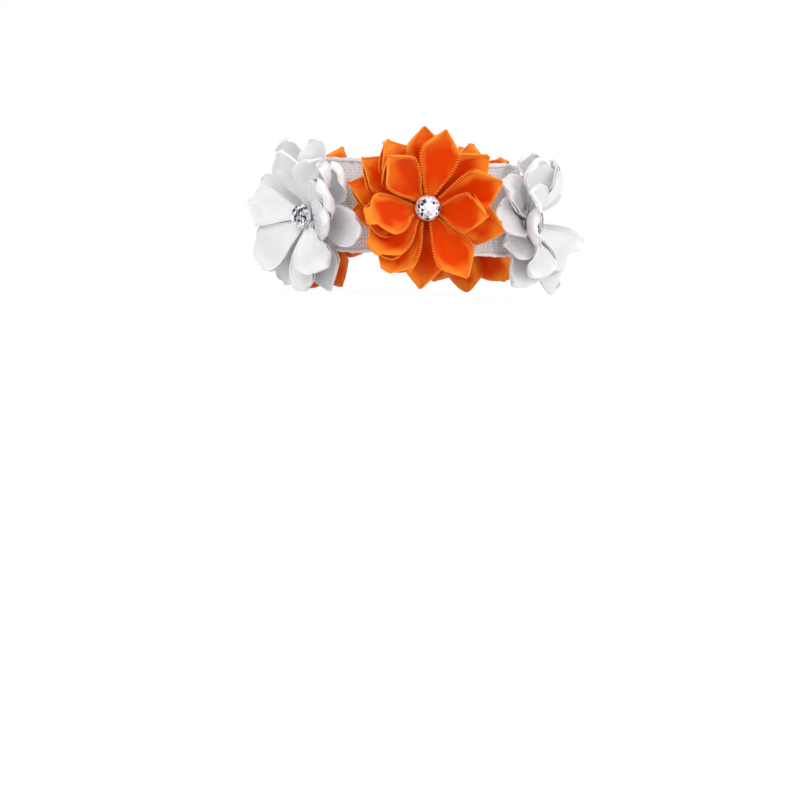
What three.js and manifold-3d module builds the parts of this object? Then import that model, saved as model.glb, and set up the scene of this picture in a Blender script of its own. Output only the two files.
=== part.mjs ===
// A wrist corsage: five flowers of folded and gathered satin ribbon on a loop of stretch lace.
// The loop's axis is the Z axis, the lowest petal tips stand on z = 0 and the first flower
// faces -Y. Seen from outside, a flower's petals turn clockwise from the one that points up.
// Lengths are in millimetres and angles in degrees.
import * as THREE from "three";
import { mergeVertices } from "three/addons/utils/BufferGeometryUtils.js";
import Module from "manifold-3d";

const wasm = await Module();
wasm.setup();

const degree = Math.PI / 180;

// The wrist that the loop is worn on, and what keeps pieces apart
const wrist_half_width = 27.5;
const wrist_half_depth = 20;
const clearance = 0.3;
const smoothing = 0.05;

// Lace band: a thin web with an elastic cord in each edge
const band_height = 25;
const band_mid_height = 23.5;
const web_thickness = 0.6;
const edge_cord_diameter = 1.4;
const panel_length = 14;
const lap_length = 13;
const stitch_diameter = 0.7;
const stitch_pitch = 2.4;
const stitch_inset = 2.2;
const bend_share = 0.36;

// Places of the flowers along the band
const flower_spacing = 28.5;
const first_flower_shift = 4.5;

// Flower: felt disc, two rings of petals, the thread that gathers them, and a stone in a cup
const felt_diameter = 14.6;
const felt_thickness = 1.2;
const petal_length = 20;
const petal_width = 10.6;
const petal_thickness = 0.8;
const petal_cup_depth = 1.5;
const petal_twist = 0.5;
const petal_root_radius = 1.1;
const petal_tip_width = 0.9;
const petal_root_lift = 5;
const hub_radius = 3.6;
const hub_thickness = 1.1;
const thread_diameter = 0.6;
const thread_loop_radius = 1.9;
const foot_cut = 0.5;
const front_flower_raise = 2.8;
const left_flower_raise = 0.75;
const right_flower_raise = 2.4;

// Stone and its foil cup
const stone_diameter = 6.4;
const stone_height = 2.9;
const stone_back_height = 0.9;
const stone_girdle_height = 0.4;
const stone_table_share = 0.56;
const stone_back_share = 0.62;
const cup_wall = 0.35;
const cup_floor = 0.4;

// Where the rows of points lie along a petal, how wide it is there and how deep its cup is
const petal_row_shares = [0, 0.17, 0.44, 0.73, 0.88, 1];
const petal_width_shares = [0.16, 0.34, 0.72, 1, 0.56, 0];
const petal_cup_shares = [0, 0.3, 0.9, 1, 0.5, 0.2];
const petal_bend_shares = [0, 0, 0.05, 0.2, 0.65, 1];
const petal_side_shares = [-1, -0.45, 0, 0.45, 1];

// Each petal as the way it points, its lift off the band and how far it curls by its tip,
// with how far the tip itself is bent up and its share of a petal's length where they differ
const orange_upper = [
  { turn: 149, lift: 16, curl: 2 },
  { turn: 214, lift: 23, curl: 3 },
  { turn: 234, lift: 34, curl: 6 },
  { turn: 261, lift: 44, curl: 8 },
  { turn: 318, lift: 37, curl: 6 },
  { turn: 10, lift: 16, curl: 1 },
  { turn: 68, lift: 20, curl: 4 },
  { turn: 96, lift: 41, curl: 8, length_share: 0.88 },
];
const orange_lower = [
  { turn: 183, lift: 4, curl: 2 },
  { turn: 265, lift: 3, curl: -3, length_share: 0.92 },
  { turn: 287, lift: 6, curl: 1 },
  { turn: 305, lift: 9, curl: 1 },
  { turn: 326, lift: 6, curl: 2, length_share: 0.94 },
  { turn: 356, lift: 6, curl: 2 },
  { turn: 48, lift: 5, curl: 2 },
  { turn: 105, lift: 5, curl: 2 },
];
const left_upper = [
  { turn: 176, lift: 9, curl: 4, tip_bend: 10, length_share: 0.95 },
  { turn: 229, lift: 16, curl: 4, tip_bend: 8, length_share: 0.92 },
  { turn: 279, lift: 6, curl: 2 },
  { turn: 359, lift: 38, curl: 4, length_share: 0.96 },
  { turn: 42, lift: 24, curl: 6, tip_bend: 10 },
  { turn: 70, lift: 18, curl: 6, tip_bend: 75 },
  { turn: 95, lift: 22, curl: 4, tip_bend: 60, length_share: 0.84 },
  { turn: 139, lift: 16, curl: 4, length_share: 0.94 },
];
const left_lower = [
  { turn: 208, lift: 4, curl: 2, length_share: 0.94 },
  { turn: 250, lift: 5, curl: 2, length_share: 0.96 },
  { turn: 292, lift: 4, curl: 2 },
  { turn: 344, lift: 12, curl: 4, tip_bend: 34, length_share: 1.03 },
  { turn: 10, lift: 8, curl: 4, tip_bend: 22, length_share: 1.05 },
  { turn: 52, lift: 6, curl: 4, tip_bend: 70 },
  { turn: 98, lift: 10, curl: 2, tip_bend: 10, length_share: 1.03 },
  { turn: 157, lift: 5, curl: 2, length_share: 0.98 },
];
const right_upper = [
  { turn: 198, lift: 10, curl: 4, tip_bend: 10, length_share: 0.7 },
  { turn: 264, lift: 24, curl: 6, tip_bend: 10, length_share: 0.8 },
  { turn: 332, lift: 8, curl: 4, tip_bend: 40, length_share: 0.92 },
  { turn: 10, lift: 10, curl: 4, tip_bend: 40, length_share: 0.85 },
  { turn: 38, lift: 12, curl: 4, tip_bend: 12, length_share: 0.86 },
  { turn: 103, lift: 33, curl: 6, length_share: 1.03 },
  { turn: 138, lift: 15, curl: 6, length_share: 0.76 },
  { turn: 297, lift: 15, curl: 6, tip_bend: 10, length_share: 0.8 },
];
const right_lower = [
  { turn: 158, lift: 16, curl: 2, length_share: 0.97 },
  { turn: 203, lift: 4, curl: 2, length_share: 0.85 },
  { turn: 243, lift: 4, curl: -8, length_share: 0.64 },
  { turn: 277, lift: 3, curl: -16, length_share: 0.8 },
  { turn: 304, lift: 3, curl: -16, length_share: 0.82 },
  { turn: 347, lift: 6, curl: 2, tip_bend: 34, length_share: 0.92 },
  { turn: 42, lift: 4, curl: -10, length_share: 0.9 },
  { turn: 98, lift: 3, curl: -14, length_share: 0.8 },
];
const back_left_upper = [
  { turn: 136, lift: 10, curl: 2, length_share: 0.92 },
  { turn: 181, lift: 20, curl: 4 },
  { turn: 226, lift: 24, curl: 6 },
  { turn: 271, lift: 24, curl: 6 },
  { turn: 316, lift: 26, curl: 6 },
  { turn: 1, lift: 14, curl: 2, length_share: 0.94 },
  { turn: 46, lift: 7, curl: -2, length_share: 0.88 },
  { turn: 91, lift: 6, curl: -4, length_share: 0.86 },
];
const back_left_lower = [
  { turn: 163, lift: 4, curl: 2 },
  { turn: 205, lift: 5, curl: 2 },
  { turn: 248, lift: 5, curl: 2 },
  { turn: 293, lift: 5, curl: 2 },
  { turn: 338, lift: 5, curl: 2 },
  { turn: 23, lift: 4, curl: -4, length_share: 0.92 },
  { turn: 68, lift: 4, curl: -6, length_share: 0.9 },
  { turn: 113, lift: 4, curl: -4, length_share: 0.92 },
];

const satin_orange = () =>
  new THREE.MeshStandardMaterial({ color: 0xf0570a, roughness: 0.35 });
const satin_white = () =>
  new THREE.MeshStandardMaterial({ color: 0xeeecec, roughness: 0.35 });
const lace_white = () =>
  new THREE.MeshStandardMaterial({ color: 0xe6dcdc, roughness: 0.8 });
const felt_white = () =>
  new THREE.MeshStandardMaterial({ color: 0xe4e2e0, roughness: 0.95 });
const thread_white = () =>
  new THREE.MeshStandardMaterial({ color: 0xf2f0ee, roughness: 0.7 });
const foil_silver = () =>
  new THREE.MeshStandardMaterial({
    color: 0xc8c8cc,
    roughness: 0.2,
    metalness: 1,
  });
const clear_crystal = () =>
  new THREE.MeshStandardMaterial({ color: 0xf4f6fa, roughness: 0.05 });

// Heights in a flower, measured out from the web's outer face
const cord_radius = edge_cord_diameter / 2;
const felt_back = clearance;
const lower_hub_back = felt_back + felt_thickness + clearance;
const thread_back = lower_hub_back + hub_thickness + clearance;
const upper_hub_back = thread_back + thread_diameter + clearance;
const cup_back = upper_hub_back + hub_thickness + clearance;

function mesh(name, geometry, material) {
  const made = new THREE.Mesh(geometry, material);
  made.name = name;
  return made;
}

function solidFrom(geometry) {
  const bare = geometry.clone();
  bare.deleteAttribute("normal");
  bare.deleteAttribute("uv");
  const merged = mergeVertices(bare, 1e-4);
  return new wasm.Manifold(
    new wasm.Mesh({
      numProp: 3,
      vertProperties: merged.attributes.position.array,
      triVerts: new Uint32Array(merged.index.array),
    }),
  );
}

function geometryFrom(solid) {
  const { vertProperties, triVerts, numProp } = solid.getMesh();
  const corners = new Float32Array((vertProperties.length / numProp) * 3);
  for (let i = 0; i * numProp < vertProperties.length; i++) {
    const corner = vertProperties.subarray(i * numProp, i * numProp + 3);
    corners.set(corner, i * 3);
  }
  const geometry = new THREE.BufferGeometry();
  geometry.setAttribute("position", new THREE.BufferAttribute(corners, 3));
  geometry.setIndex(new THREE.BufferAttribute(new Uint32Array(triVerts), 1));
  geometry.computeVertexNormals();
  return geometry;
}

// Places round the wrist

// The point of the wrist's outline whose outward normal faces this way, turned from -Y.
function wristPoint(facing) {
  const across = wrist_half_width * Math.sin(facing);
  const along = wrist_half_depth * Math.cos(facing);
  const size = Math.hypot(across, along);
  return new THREE.Vector3(
    (wrist_half_width * across) / size,
    (-wrist_half_depth * along) / size,
    0,
  );
}

const walking_step = degree / 20;

// The facing that is reached by walking a length round the outline from the front.
function facingAfter(length) {
  const step = (Math.sign(length) || 1) * walking_step;
  let facing = 0;
  let walked = 0;
  while (walked < Math.abs(length)) {
    walked += wristPoint(facing).distanceTo(wristPoint(facing + step));
    facing += step;
  }
  return facing;
}

// A place on the band: the middle of its web there, the way round it and the way out of it.
function bandPlace(steps_round) {
  const facing = facingAfter(first_flower_shift + steps_round * flower_spacing);
  const outward = new THREE.Vector3(Math.sin(facing), -Math.cos(facing), 0);
  const round = new THREE.Vector3(Math.cos(facing), Math.sin(facing), 0);
  const middle = wristPoint(facing)
    .addScaledVector(outward, cord_radius)
    .setZ(band_mid_height);
  return { facing, outward, round, middle };
}

// Band

// The band's cut end: a web between two round cords, with its height along x.
function bandSection() {
  const cord_centre = band_height / 2 - cord_radius;
  const mouth = Math.asin(web_thickness / 2 / cord_radius);
  const section = new THREE.Shape();
  section.absarc(cord_centre, 0, cord_radius, mouth - Math.PI, Math.PI - mouth);
  section.absarc(-cord_centre, 0, cord_radius, mouth, 2 * Math.PI - mouth);
  section.closePath();
  return section;
}

function bandPiece(name, path, steps) {
  const geometry = new THREE.ExtrudeGeometry(bandSection(), {
    extrudePath: path,
    steps,
    curveSegments: 5,
  });
  return mesh(name, geometry, lace_white());
}

const panelEnd = (place, side) =>
  place.middle
    .clone()
    .addScaledVector(place.round, side * (panel_length / 2));

const linkEnd = (place, side) =>
  place.middle
    .clone()
    .addScaledVector(place.round, side * (panel_length / 2 + clearance));

function bandPanel(name, place) {
  const path = new THREE.LineCurve3(panelEnd(place, -1), panelEnd(place, 1));
  return bandPiece(name, path, 1);
}

// The curve that leaves one panel and meets the next, square to both of their ends.
function linkPath(from, to) {
  const start = linkEnd(from, 1);
  const end = linkEnd(to, -1);
  const bend = from.round.angleTo(to.round);
  const reach =
    (2 / 3) * start.distanceTo(end) * (Math.tan(bend / 4) / Math.sin(bend / 2));
  return new THREE.CubicBezierCurve3(
    start,
    start.clone().addScaledVector(from.round, reach),
    end.clone().addScaledVector(to.round, -reach),
    end,
  );
}

// The band's two ends lap at the back along a straight stretch, the inner one behind the
// outer one, so that they can slide over each other while the rest of the loop stretches.
const lap_step = edge_cord_diameter + clearance;

// Leads from a panel's end, facing this way, to a straight run between two points.
function lapPath(start, facing, run_start, run_end) {
  const along = run_end.clone().sub(run_start).normalize();
  const reach = start.distanceTo(run_start) * bend_share;
  const path = new THREE.CurvePath();
  path.add(
    new THREE.CubicBezierCurve3(
      start,
      start.clone().addScaledVector(facing, reach),
      run_start.clone().addScaledVector(along, -reach),
      run_start,
    ),
  );
  path.add(new THREE.LineCurve3(run_start, run_end));
  return path;
}

function lapEnds(from, to) {
  const along = to.middle.clone().sub(from.middle).normalize();
  const inward = new THREE.Vector3(-along.y, along.x, 0);
  const middle = linkPath(from, to).getPointAt(1 / 2);
  const onLap = (share, depth) =>
    middle
      .clone()
      .addScaledVector(along, (share * lap_length) / 2)
      .addScaledVector(inward, depth);
  return {
    along,
    outward: inward.clone().negate(),
    outer: lapPath(linkEnd(from, 1), from.round, onLap(-1, 0), onLap(1, 0)),
    inner: lapPath(
      linkEnd(to, -1),
      to.round.clone().negate(),
      onLap(1, lap_step),
      onLap(-1, lap_step),
    ),
    outer_tip: onLap(1, 0),
  };
}

// The zigzag of thread that sews down the outer end's tip.
function lapStitches(name, lap) {
  const out = web_thickness / 2 + clearance + stitch_diameter / 2;
  const line = lap.outer_tip
    .clone()
    .addScaledVector(lap.along, -stitch_inset)
    .addScaledVector(lap.outward, out);
  const reach = band_height / 2 - edge_cord_diameter - stitch_diameter;
  const count = Math.max(2, Math.floor((2 * reach) / stitch_pitch));
  const points = [];
  for (let i = 0; i <= count; i++) {
    const side = i % 2 === 0 ? -1 : 1;
    points.push(
      line
        .clone()
        .addScaledVector(lap.along, (side * stitch_pitch) / 4)
        .setZ(band_mid_height + THREE.MathUtils.lerp(-reach, reach, i / count)),
    );
  }
  const section = new THREE.Shape();
  section.absarc(0, 0, stitch_diameter / 2, 0, 2 * Math.PI);
  const geometry = new THREE.ExtrudeGeometry(section, {
    extrudePath: new THREE.CatmullRomCurve3(points),
    steps: count * 2,
    curveSegments: 3,
  });
  return mesh(name, geometry, thread_white());
}

// Petals

// A closed leaf from a grid of corners on its face and another on its back.
function leafGeometry(face, back) {
  const rows = face.length;
  const columns = face[0].length;
  const corners = [...face.flat(), ...back.flat()].flatMap((p) => p.toArray());
  const at = (i, j) => i * columns + j;
  const under = (i, j) => rows * columns + at(i, j);
  const triangles = [];
  const quad = (a, b, c, d) => triangles.push(a, b, c, a, c, d);
  for (let i = 0; i + 1 < rows; i++) {
    for (let j = 0; j + 1 < columns; j++) {
      quad(at(i, j), at(i, j + 1), at(i + 1, j + 1), at(i + 1, j));
      quad(under(i, j), under(i + 1, j), under(i + 1, j + 1), under(i, j + 1));
    }
    const last = columns - 1;
    quad(at(i, 0), at(i + 1, 0), under(i + 1, 0), under(i, 0));
    quad(at(i + 1, last), at(i, last), under(i, last), under(i + 1, last));
  }
  for (let j = 0; j + 1 < columns; j++) {
    const last = rows - 1;
    quad(at(0, j + 1), at(0, j), under(0, j), under(0, j + 1));
    quad(at(last, j), at(last, j + 1), under(last, j + 1), under(last, j));
  }
  const geometry = new THREE.BufferGeometry();
  geometry.setAttribute(
    "position",
    new THREE.Float32BufferAttribute(corners, 3),
  );
  geometry.setIndex(triangles);
  return geometry;
}

// One petal: a folded length of ribbon, pinched at its root, widest at its shoulders,
// and pointed, with its sides cupped and one side a little higher than the other.
function petalSolid(petal, root_height) {
  const { turn, lift, curl, tip_bend = 0, length_share = 1 } = petal;
  const outward = new THREE.Vector3(
    Math.sin(turn * degree),
    Math.cos(turn * degree),
    0,
  );
  const sideways = new THREE.Vector3(outward.y, -outward.x, 0);
  const up = new THREE.Vector3(0, 0, 1);
  const spine = outward
    .clone()
    .multiplyScalar(petal_root_radius)
    .setZ(root_height);
  const face = [];
  const back = [];
  petal_row_shares.forEach((share, row) => {
    const raised = row > 1 ? lift + curl * share : petal_root_lift;
    const slope = (raised + tip_bend * petal_bend_shares[row]) * degree;
    const ahead = outward
      .clone()
      .multiplyScalar(Math.cos(slope))
      .addScaledVector(up, Math.sin(slope));
    const off = outward
      .clone()
      .multiplyScalar(-Math.sin(slope))
      .addScaledVector(up, Math.cos(slope));
    const step = share - (petal_row_shares[row - 1] ?? 0);
    spine.addScaledVector(ahead, step * length_share * petal_length);
    const half_width =
      petal_tip_width / 2 +
      (petal_width_shares[row] * (petal_width - petal_tip_width)) / 2;
    const rise = (side) =>
      petal_cup_shares[row] * petal_cup_depth * side * side +
      petal_twist * side * share;
    const edge = (side) =>
      spine
        .clone()
        .addScaledVector(sideways, side * half_width)
        .addScaledVector(off, rise(side));
    face.push(petal_side_shares.map(edge));
    back.push(
      petal_side_shares.map((side) =>
        edge(side).addScaledVector(off, -petal_thickness),
      ),
    );
  });
  return solidFrom(leafGeometry(face, back));
}

// A ring: petals folded from one ribbon and gathered into a hub by their roots.
function petalRing(petals, hub_back) {
  const hub = new THREE.CylinderGeometry(
    hub_radius,
    hub_radius,
    hub_thickness,
    16,
  );
  hub.rotateX(90 * degree);
  hub.translate(0, 0, hub_back + hub_thickness / 2);
  const root_height = hub_back + petal_thickness;
  return petals.reduce(
    (ring, petal) => ring.add(petalSolid(petal, root_height)),
    solidFrom(hub),
  );
}

// Cuts away what would lie under the table that the petal tips stand on.
function standOn(ring, floor) {
  const span = 4 * petal_length;
  const below = new THREE.BoxGeometry(span, span, span);
  below.translate(0, floor - span / 2, 0);
  return ring.subtract(solidFrom(below)).simplify(smoothing);
}

// Stone and cup

function lathe(points) {
  const profile = points.map(([r, h]) => new THREE.Vector2(r, h));
  return new THREE.LatheGeometry(profile, 16).rotateX(90 * degree);
}

const stone_radius = stone_diameter / 2;
const stone_back_radius = stone_radius * stone_back_share;

// A crystal with a table, sloping crown facets, a girdle and a tapered back.
function stoneGeometry() {
  const seat = cup_back + cup_floor + clearance;
  return lathe([
    [0, 0],
    [stone_back_radius, 0],
    [stone_radius, stone_back_height],
    [stone_radius, stone_back_height + stone_girdle_height],
    [stone_radius * stone_table_share, stone_height],
    [0, stone_height],
  ]).translate(0, 0, seat);
}

// The foil cup holds the stone's tapered back, with its rim just under the girdle.
function cupGeometry() {
  const inner_floor = stone_back_radius + clearance;
  const inner_rim = stone_radius + clearance;
  const rim = cup_floor + clearance + stone_back_height;
  return lathe([
    [0, 0],
    [inner_floor + cup_wall, 0],
    [inner_rim + cup_wall, rim],
    [inner_rim, rim],
    [inner_floor, cup_floor],
    [0, cup_floor],
  ]).translate(0, 0, cup_back);
}

function feltGeometry() {
  const felt = new THREE.CylinderGeometry(
    felt_diameter / 2,
    felt_diameter / 2,
    felt_thickness,
    24,
  );
  felt.rotateX(90 * degree);
  return felt.translate(0, 0, felt_back + felt_thickness / 2);
}

function threadGeometry() {
  const loop = new THREE.TorusGeometry(
    thread_loop_radius,
    thread_diameter / 2,
    6,
    14,
  );
  return loop.translate(0, 0, thread_back + thread_diameter / 2);
}

// Flowers

function flower({ name, place, satin, upper, lower, raise = 0 }) {
  const group = new THREE.Group();
  const lower_ring = petalRing(lower, lower_hub_back);
  const upper_ring = petalRing(upper, upper_hub_back);
  const reach = -Math.min(
    lower_ring.boundingBox().min[1],
    upper_ring.boundingBox().min[1],
  );
  const centre_height = reach - foot_cut + raise;
  const ringGeometry = (ring) => geometryFrom(standOn(ring, -centre_height));
  group.add(
    mesh(name + "_felt_disc", feltGeometry(), felt_white()),
    mesh(name + "_lower_petals", ringGeometry(lower_ring), satin()),
    mesh(name + "_gather_thread", threadGeometry(), thread_white()),
    mesh(name + "_upper_petals", ringGeometry(upper_ring), satin()),
    mesh(name + "_stone_cup", cupGeometry(), foil_silver()),
    mesh(name + "_stone", stoneGeometry(), clear_crystal()),
  );
  group.rotation.set(90 * degree, 0, place.facing, "ZXY");
  group.position
    .copy(place.middle)
    .addScaledVector(place.outward, web_thickness / 2)
    .setZ(centre_height);
  return group;
}

const front = bandPlace(0);
const left = bandPlace(-1);
const right = bandPlace(1);
const back_left = bandPlace(-2);
const back_right = bandPlace(2);
const lap = lapEnds(back_right, back_left);

const corsage = new THREE.Group();
corsage.add(
  flower({
    name: "front",
    place: front,
    satin: satin_orange,
    upper: orange_upper,
    lower: orange_lower,
    raise: front_flower_raise,
  }),
  flower({
    name: "left",
    place: left,
    satin: satin_white,
    upper: left_upper,
    lower: left_lower,
    raise: left_flower_raise,
  }),
  flower({
    name: "right",
    place: right,
    satin: satin_white,
    upper: right_upper,
    lower: right_lower,
    raise: right_flower_raise,
  }),
  flower({
    name: "back_left",
    place: back_left,
    satin: satin_orange,
    upper: back_left_upper,
    lower: back_left_lower,
  }),
  flower({
    name: "back_right",
    place: back_right,
    satin: satin_orange,
    upper: orange_upper,
    lower: orange_lower,
  }),
  bandPanel("front_band_panel", front),
  bandPanel("left_band_panel", left),
  bandPanel("right_band_panel", right),
  bandPanel("back_left_band_panel", back_left),
  bandPanel("back_right_band_panel", back_right),
  bandPiece("band_link_front_left", linkPath(left, front), 5),
  bandPiece("band_link_front_right", linkPath(front, right), 5),
  bandPiece("band_link_back_left", linkPath(back_left, left), 5),
  bandPiece("band_link_back_right", linkPath(right, back_right), 5),
  bandPiece("band_end_outer", lap.outer, 8),
  bandPiece("band_end_inner", lap.inner, 8),
  lapStitches("lap_stitches", lap),
);

export default corsage;
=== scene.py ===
"""Models a wrist corsage: five flowers of folded satin ribbon on a loop of stretch lace.

Lengths are in metres and angles in degrees unless a name says otherwise. A flower is made in
its own axes, across, up and out of the lace, and then stood where its felt disc is. A petal is
one length of ribbon that runs out along its face, over its nose and back along its underside.
"""

import functools
import math

import bmesh
import bpy
import numpy as np
from bpy.props import FloatProperty, FloatVectorProperty, IntProperty, PointerProperty
from mathutils import Matrix, Vector


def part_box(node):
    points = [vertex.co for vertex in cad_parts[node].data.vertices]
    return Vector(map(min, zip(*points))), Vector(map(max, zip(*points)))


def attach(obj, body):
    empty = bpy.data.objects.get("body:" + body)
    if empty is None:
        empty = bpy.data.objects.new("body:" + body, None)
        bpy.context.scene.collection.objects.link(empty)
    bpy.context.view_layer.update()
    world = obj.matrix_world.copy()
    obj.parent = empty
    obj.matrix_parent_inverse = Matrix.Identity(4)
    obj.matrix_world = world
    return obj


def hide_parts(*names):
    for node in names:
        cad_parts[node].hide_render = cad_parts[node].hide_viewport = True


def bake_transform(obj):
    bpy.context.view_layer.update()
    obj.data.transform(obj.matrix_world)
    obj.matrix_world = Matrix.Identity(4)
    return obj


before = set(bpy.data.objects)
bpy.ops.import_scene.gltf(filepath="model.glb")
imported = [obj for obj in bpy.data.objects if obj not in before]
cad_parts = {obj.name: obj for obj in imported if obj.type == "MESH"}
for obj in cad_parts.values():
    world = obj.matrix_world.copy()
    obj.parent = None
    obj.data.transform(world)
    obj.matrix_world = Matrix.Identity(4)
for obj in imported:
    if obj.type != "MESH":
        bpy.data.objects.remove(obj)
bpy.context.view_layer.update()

bl_info = {
    "name": "Wrist corsage",
    "version": (1, 0, 0),
    "blender": (4, 5, 0),
    "location": "View3D > Sidebar > Corsage",
    "description": "Makes the ribbon flowers, the stretch lace, the stones and the stage",
    "category": "Add Mesh",
}

MM = 0.001
FLOWERS = ("front", "left", "right", "back_left", "back_right")
WHITE_FLOWERS = ("left", "right")
UP = Vector((0, 0, 1))


# Petals, listed in the order in which each lies on the one before

def petal(turn, lift, curl, **form):
    """One petal: the way it points, clockwise from up, its lift off the lace, and its curl."""
    return {"turn": turn, "lift": lift, "curl": curl, **form}


def rounded(turn, lift, curl, tip, cup, **form):
    """A petal with a round end in place of a folded point."""
    return petal(turn, lift, curl, tip=tip, cup=cup, **{"round": 1.0, **form})


ORANGE_LOWER = [
    petal(183, 6, 8, open=0.3),
    petal(265, 3, -3, open=0.5, reach=0.92),
    petal(287, 6, 1, open=1.2, lean=-0.6, nose=0.6, roll=1.4),
    petal(305, 9, 1, open=1.2, nose=0.6, roll=1.5),
    petal(326, 6, 2, open=1.4, nose=0.75, tip=1.0, roll=1.7, reach=0.94),
    petal(356, 6, 2, open=0.5),
    petal(48, 5, 2, open=0.6),
    petal(105, 5, 2, open=0.2, roll=0.2),
]
ORANGE_UPPER = [
    petal(149, 16, 2, open=0.3, roll=0.5),
    petal(214, 23, 3, open=0.9, tip=1.5),
    petal(234, 34, 6, open=1.1, nose=0.65, tip=2.3, roll=1.4),
    petal(261, 44, 8, open=1.5, nose=0.95, tip=2.1, roll=2.2),
    petal(318, 37, 6, open=0.8),
    petal(10, 16, 1, open=0.4),
    petal(68, 20, 4, open=0.6),
    petal(96, 41, 8, open=0.3, roll=0.3, reach=0.88),
]
LEFT_LOWER = [
    rounded(208, 4, 2, 1.6, 2.2, round=0.8, reach=0.94),
    rounded(250, 5, 2, 1.2, 2.2, round=0.7, reach=0.96),
    rounded(292, 4, 2, 1.8, 2.2),
    rounded(344, 12, 4, 2.2, 2.6, bend=34, nose=0.7, reach=1.03, wide=0.9),
    rounded(14, 10, 4, 2.2, 1.6, bend=6, nose=0.7, reach=1.0, wide=0.68),
    rounded(52, 6, 4, 2.0, 2.0, bend=70, nose=0.8, open=1.2),
    rounded(98, 10, 2, 2.6, 2.4, bend=10, nose=0.7, roll=0.9, reach=1.03),
    petal(154, 7, 2, tip=0.5, cup=0.6, roll=0.0, bend=-10, open=0.0, wide=1.08),
]
LEFT_UPPER = [
    rounded(170, 9, 4, 2.6, 2.0, round=0.9, bend=10, nose=0.6, roll=0.9, reach=0.93),
    rounded(228, 11, 4, 2.8, 2.2, round=0.8, bend=8, nose=0.8, roll=0.2, reach=0.89, wide=1.12),
    petal(279, 6, 2, tip=0.3, cup=1.2, roll=0.3),
    petal(359, 38, 4, tip=0.6, cup=0.9, open=1.6, matte=1.0, wave=0.25, reach=0.96),
    rounded(42, 24, 6, 1.6, 1.6, round=0.8, wave=1.3, bend=10, roll=1.6),
    rounded(70, 18, 6, 1.6, 2.2, bend=75, nose=0.8, open=1.2),
    rounded(95, 22, 4, 1.6, 2.2, round=0.9, bend=60, nose=0.8, reach=0.84),
    rounded(139, 13, 4, 2.4, 2.6, roll=0.4, nose=0.6, reach=0.83, wide=1.1),
]
RIGHT_LOWER = [
    rounded(158, 27, 2, 1.8, 2.2, nose=0.6, roll=1.4, reach=1.02),
    rounded(203, 4, 2, 1.6, 3.0, nose=0.6, reach=0.85, roll=2.8),
    rounded(243, 4, -8, 1.6, 2.4, nose=0.6, reach=0.64, roll=1.0),
    rounded(277, 3, -16, 2.0, 2.2, nose=0.7, reach=0.8),
    rounded(304, 3, -16, 2.0, 2.2, nose=0.7, reach=0.82, roll=-0.5),
    rounded(347, 6, 2, 2.0, 2.2, bend=34, nose=0.7, roll=-2.8, reach=0.92),
    rounded(42, 4, -10, 1.8, 2.2, roll=-1.0, reach=0.84, open=0.0),
    rounded(98, 3, -14, 1.6, 2.0, round=0.8, reach=0.8),
]
RIGHT_UPPER = [
    rounded(198, 10, 4, 2.0, 2.4, bend=10, nose=0.6, reach=0.7, roll=2.0),
    rounded(264, 24, 6, 2.2, 2.2, round=0.8, bend=10, nose=0.7, reach=0.8, roll=0.8),
    rounded(332, 8, 4, 2.2, 2.6, bend=40, nose=0.7, roll=-2.6, reach=0.92),
    rounded(10, 10, 4, 2.0, 2.2, bend=40, nose=0.7, reach=0.85, roll=-2.0),
    rounded(38, 12, 4, 2.0, 1.4, bend=12, reach=0.9, roll=-1.6, open=0.0),
    rounded(108, 34, 6, 1.4, 1.2, nose=0.7, roll=0.3, reach=1.03, wide=0.56),
    rounded(138, 15, 6, 1.2, 2.2, round=0.4, reach=0.76, roll=1.4),
    rounded(297, 15, 6, 2.2, 2.2, bend=10, nose=0.7, reach=0.8, roll=-0.8),
]
BACK_LEFT_LOWER = [
    petal(171, 4, 2, open=0.3, reach=1.06),
    petal(205, 5, 2),
    petal(248, 5, 2),
    petal(293, 5, 2),
    petal(338, 5, 2),
    petal(23, 4, -4, reach=0.92),
    petal(68, 4, -6, reach=0.9),
    petal(113, 4, -4, reach=0.92),
]
BACK_LEFT_UPPER = [
    petal(136, 10, 2, reach=0.92),
    petal(181, 20, 4),
    petal(226, 24, 6),
    petal(271, 24, 6),
    petal(316, 26, 6),
    petal(1, 14, 2, reach=0.94),
    petal(46, 7, -2, reach=0.88),
    petal(91, 6, -4, reach=0.86),
]
PETAL_DEFAULTS = {  # in mm, unless a line says otherwise
    "cup": 1.7,  # how far the edges rise
    "roll": 0.7,  # how far one edge rises and the other drops
    "open": 0.5,  # how far the layers part at the lapping edge
    "nose": 0.26,  # radius of the turn over the tip
    "tip": 0.32,  # half width of the tip
    "lean": 0.0,  # how far the tip leans sideways
    "wave": 0.0,  # height of a wave across the face
    "round": 0.0,  # from 0 for a folded point to 1 for a round end
    "wide": 1.0,  # width against the ribbon's
    "bend": 0.0,  # degrees that the tip lifts further
    "reach": 1.0,  # length against the ribbon's
    "matte": 0.0,  # from 0 for satin to 1 for a coarse weave
}
RINGS = {
    "front": (ORANGE_LOWER, ORANGE_UPPER),
    "left": (LEFT_LOWER, LEFT_UPPER),
    "right": (RIGHT_LOWER, RIGHT_UPPER),
    "back_left": (BACK_LEFT_LOWER, BACK_LEFT_UPPER),
    "back_right": (ORANGE_LOWER, ORANGE_UPPER),
}

# How much of each stone shows painted dark reflection
DARK_REFLECTION_SHARES = {
    "front": 0.17,
    "left": 0.3,
    "right": 0.45,
    "back_left": 0.18,
    "back_right": 0.18,
}


# Sizes and colours that a user would change

def length(name, default, text):
    """A length in metres."""
    return FloatProperty(
        name=name, description=text, default=default, unit="LENGTH", precision=5
    )


def colour(name, default, text):
    """A colour in linear light."""
    return FloatVectorProperty(
        name=name, description=text, default=default, size=3, subtype="COLOR"
    )


def share(name, default, text):
    """A share of something, from 0 to 1."""
    return FloatProperty(name=name, description=text, default=default, subtype="FACTOR")


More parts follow.
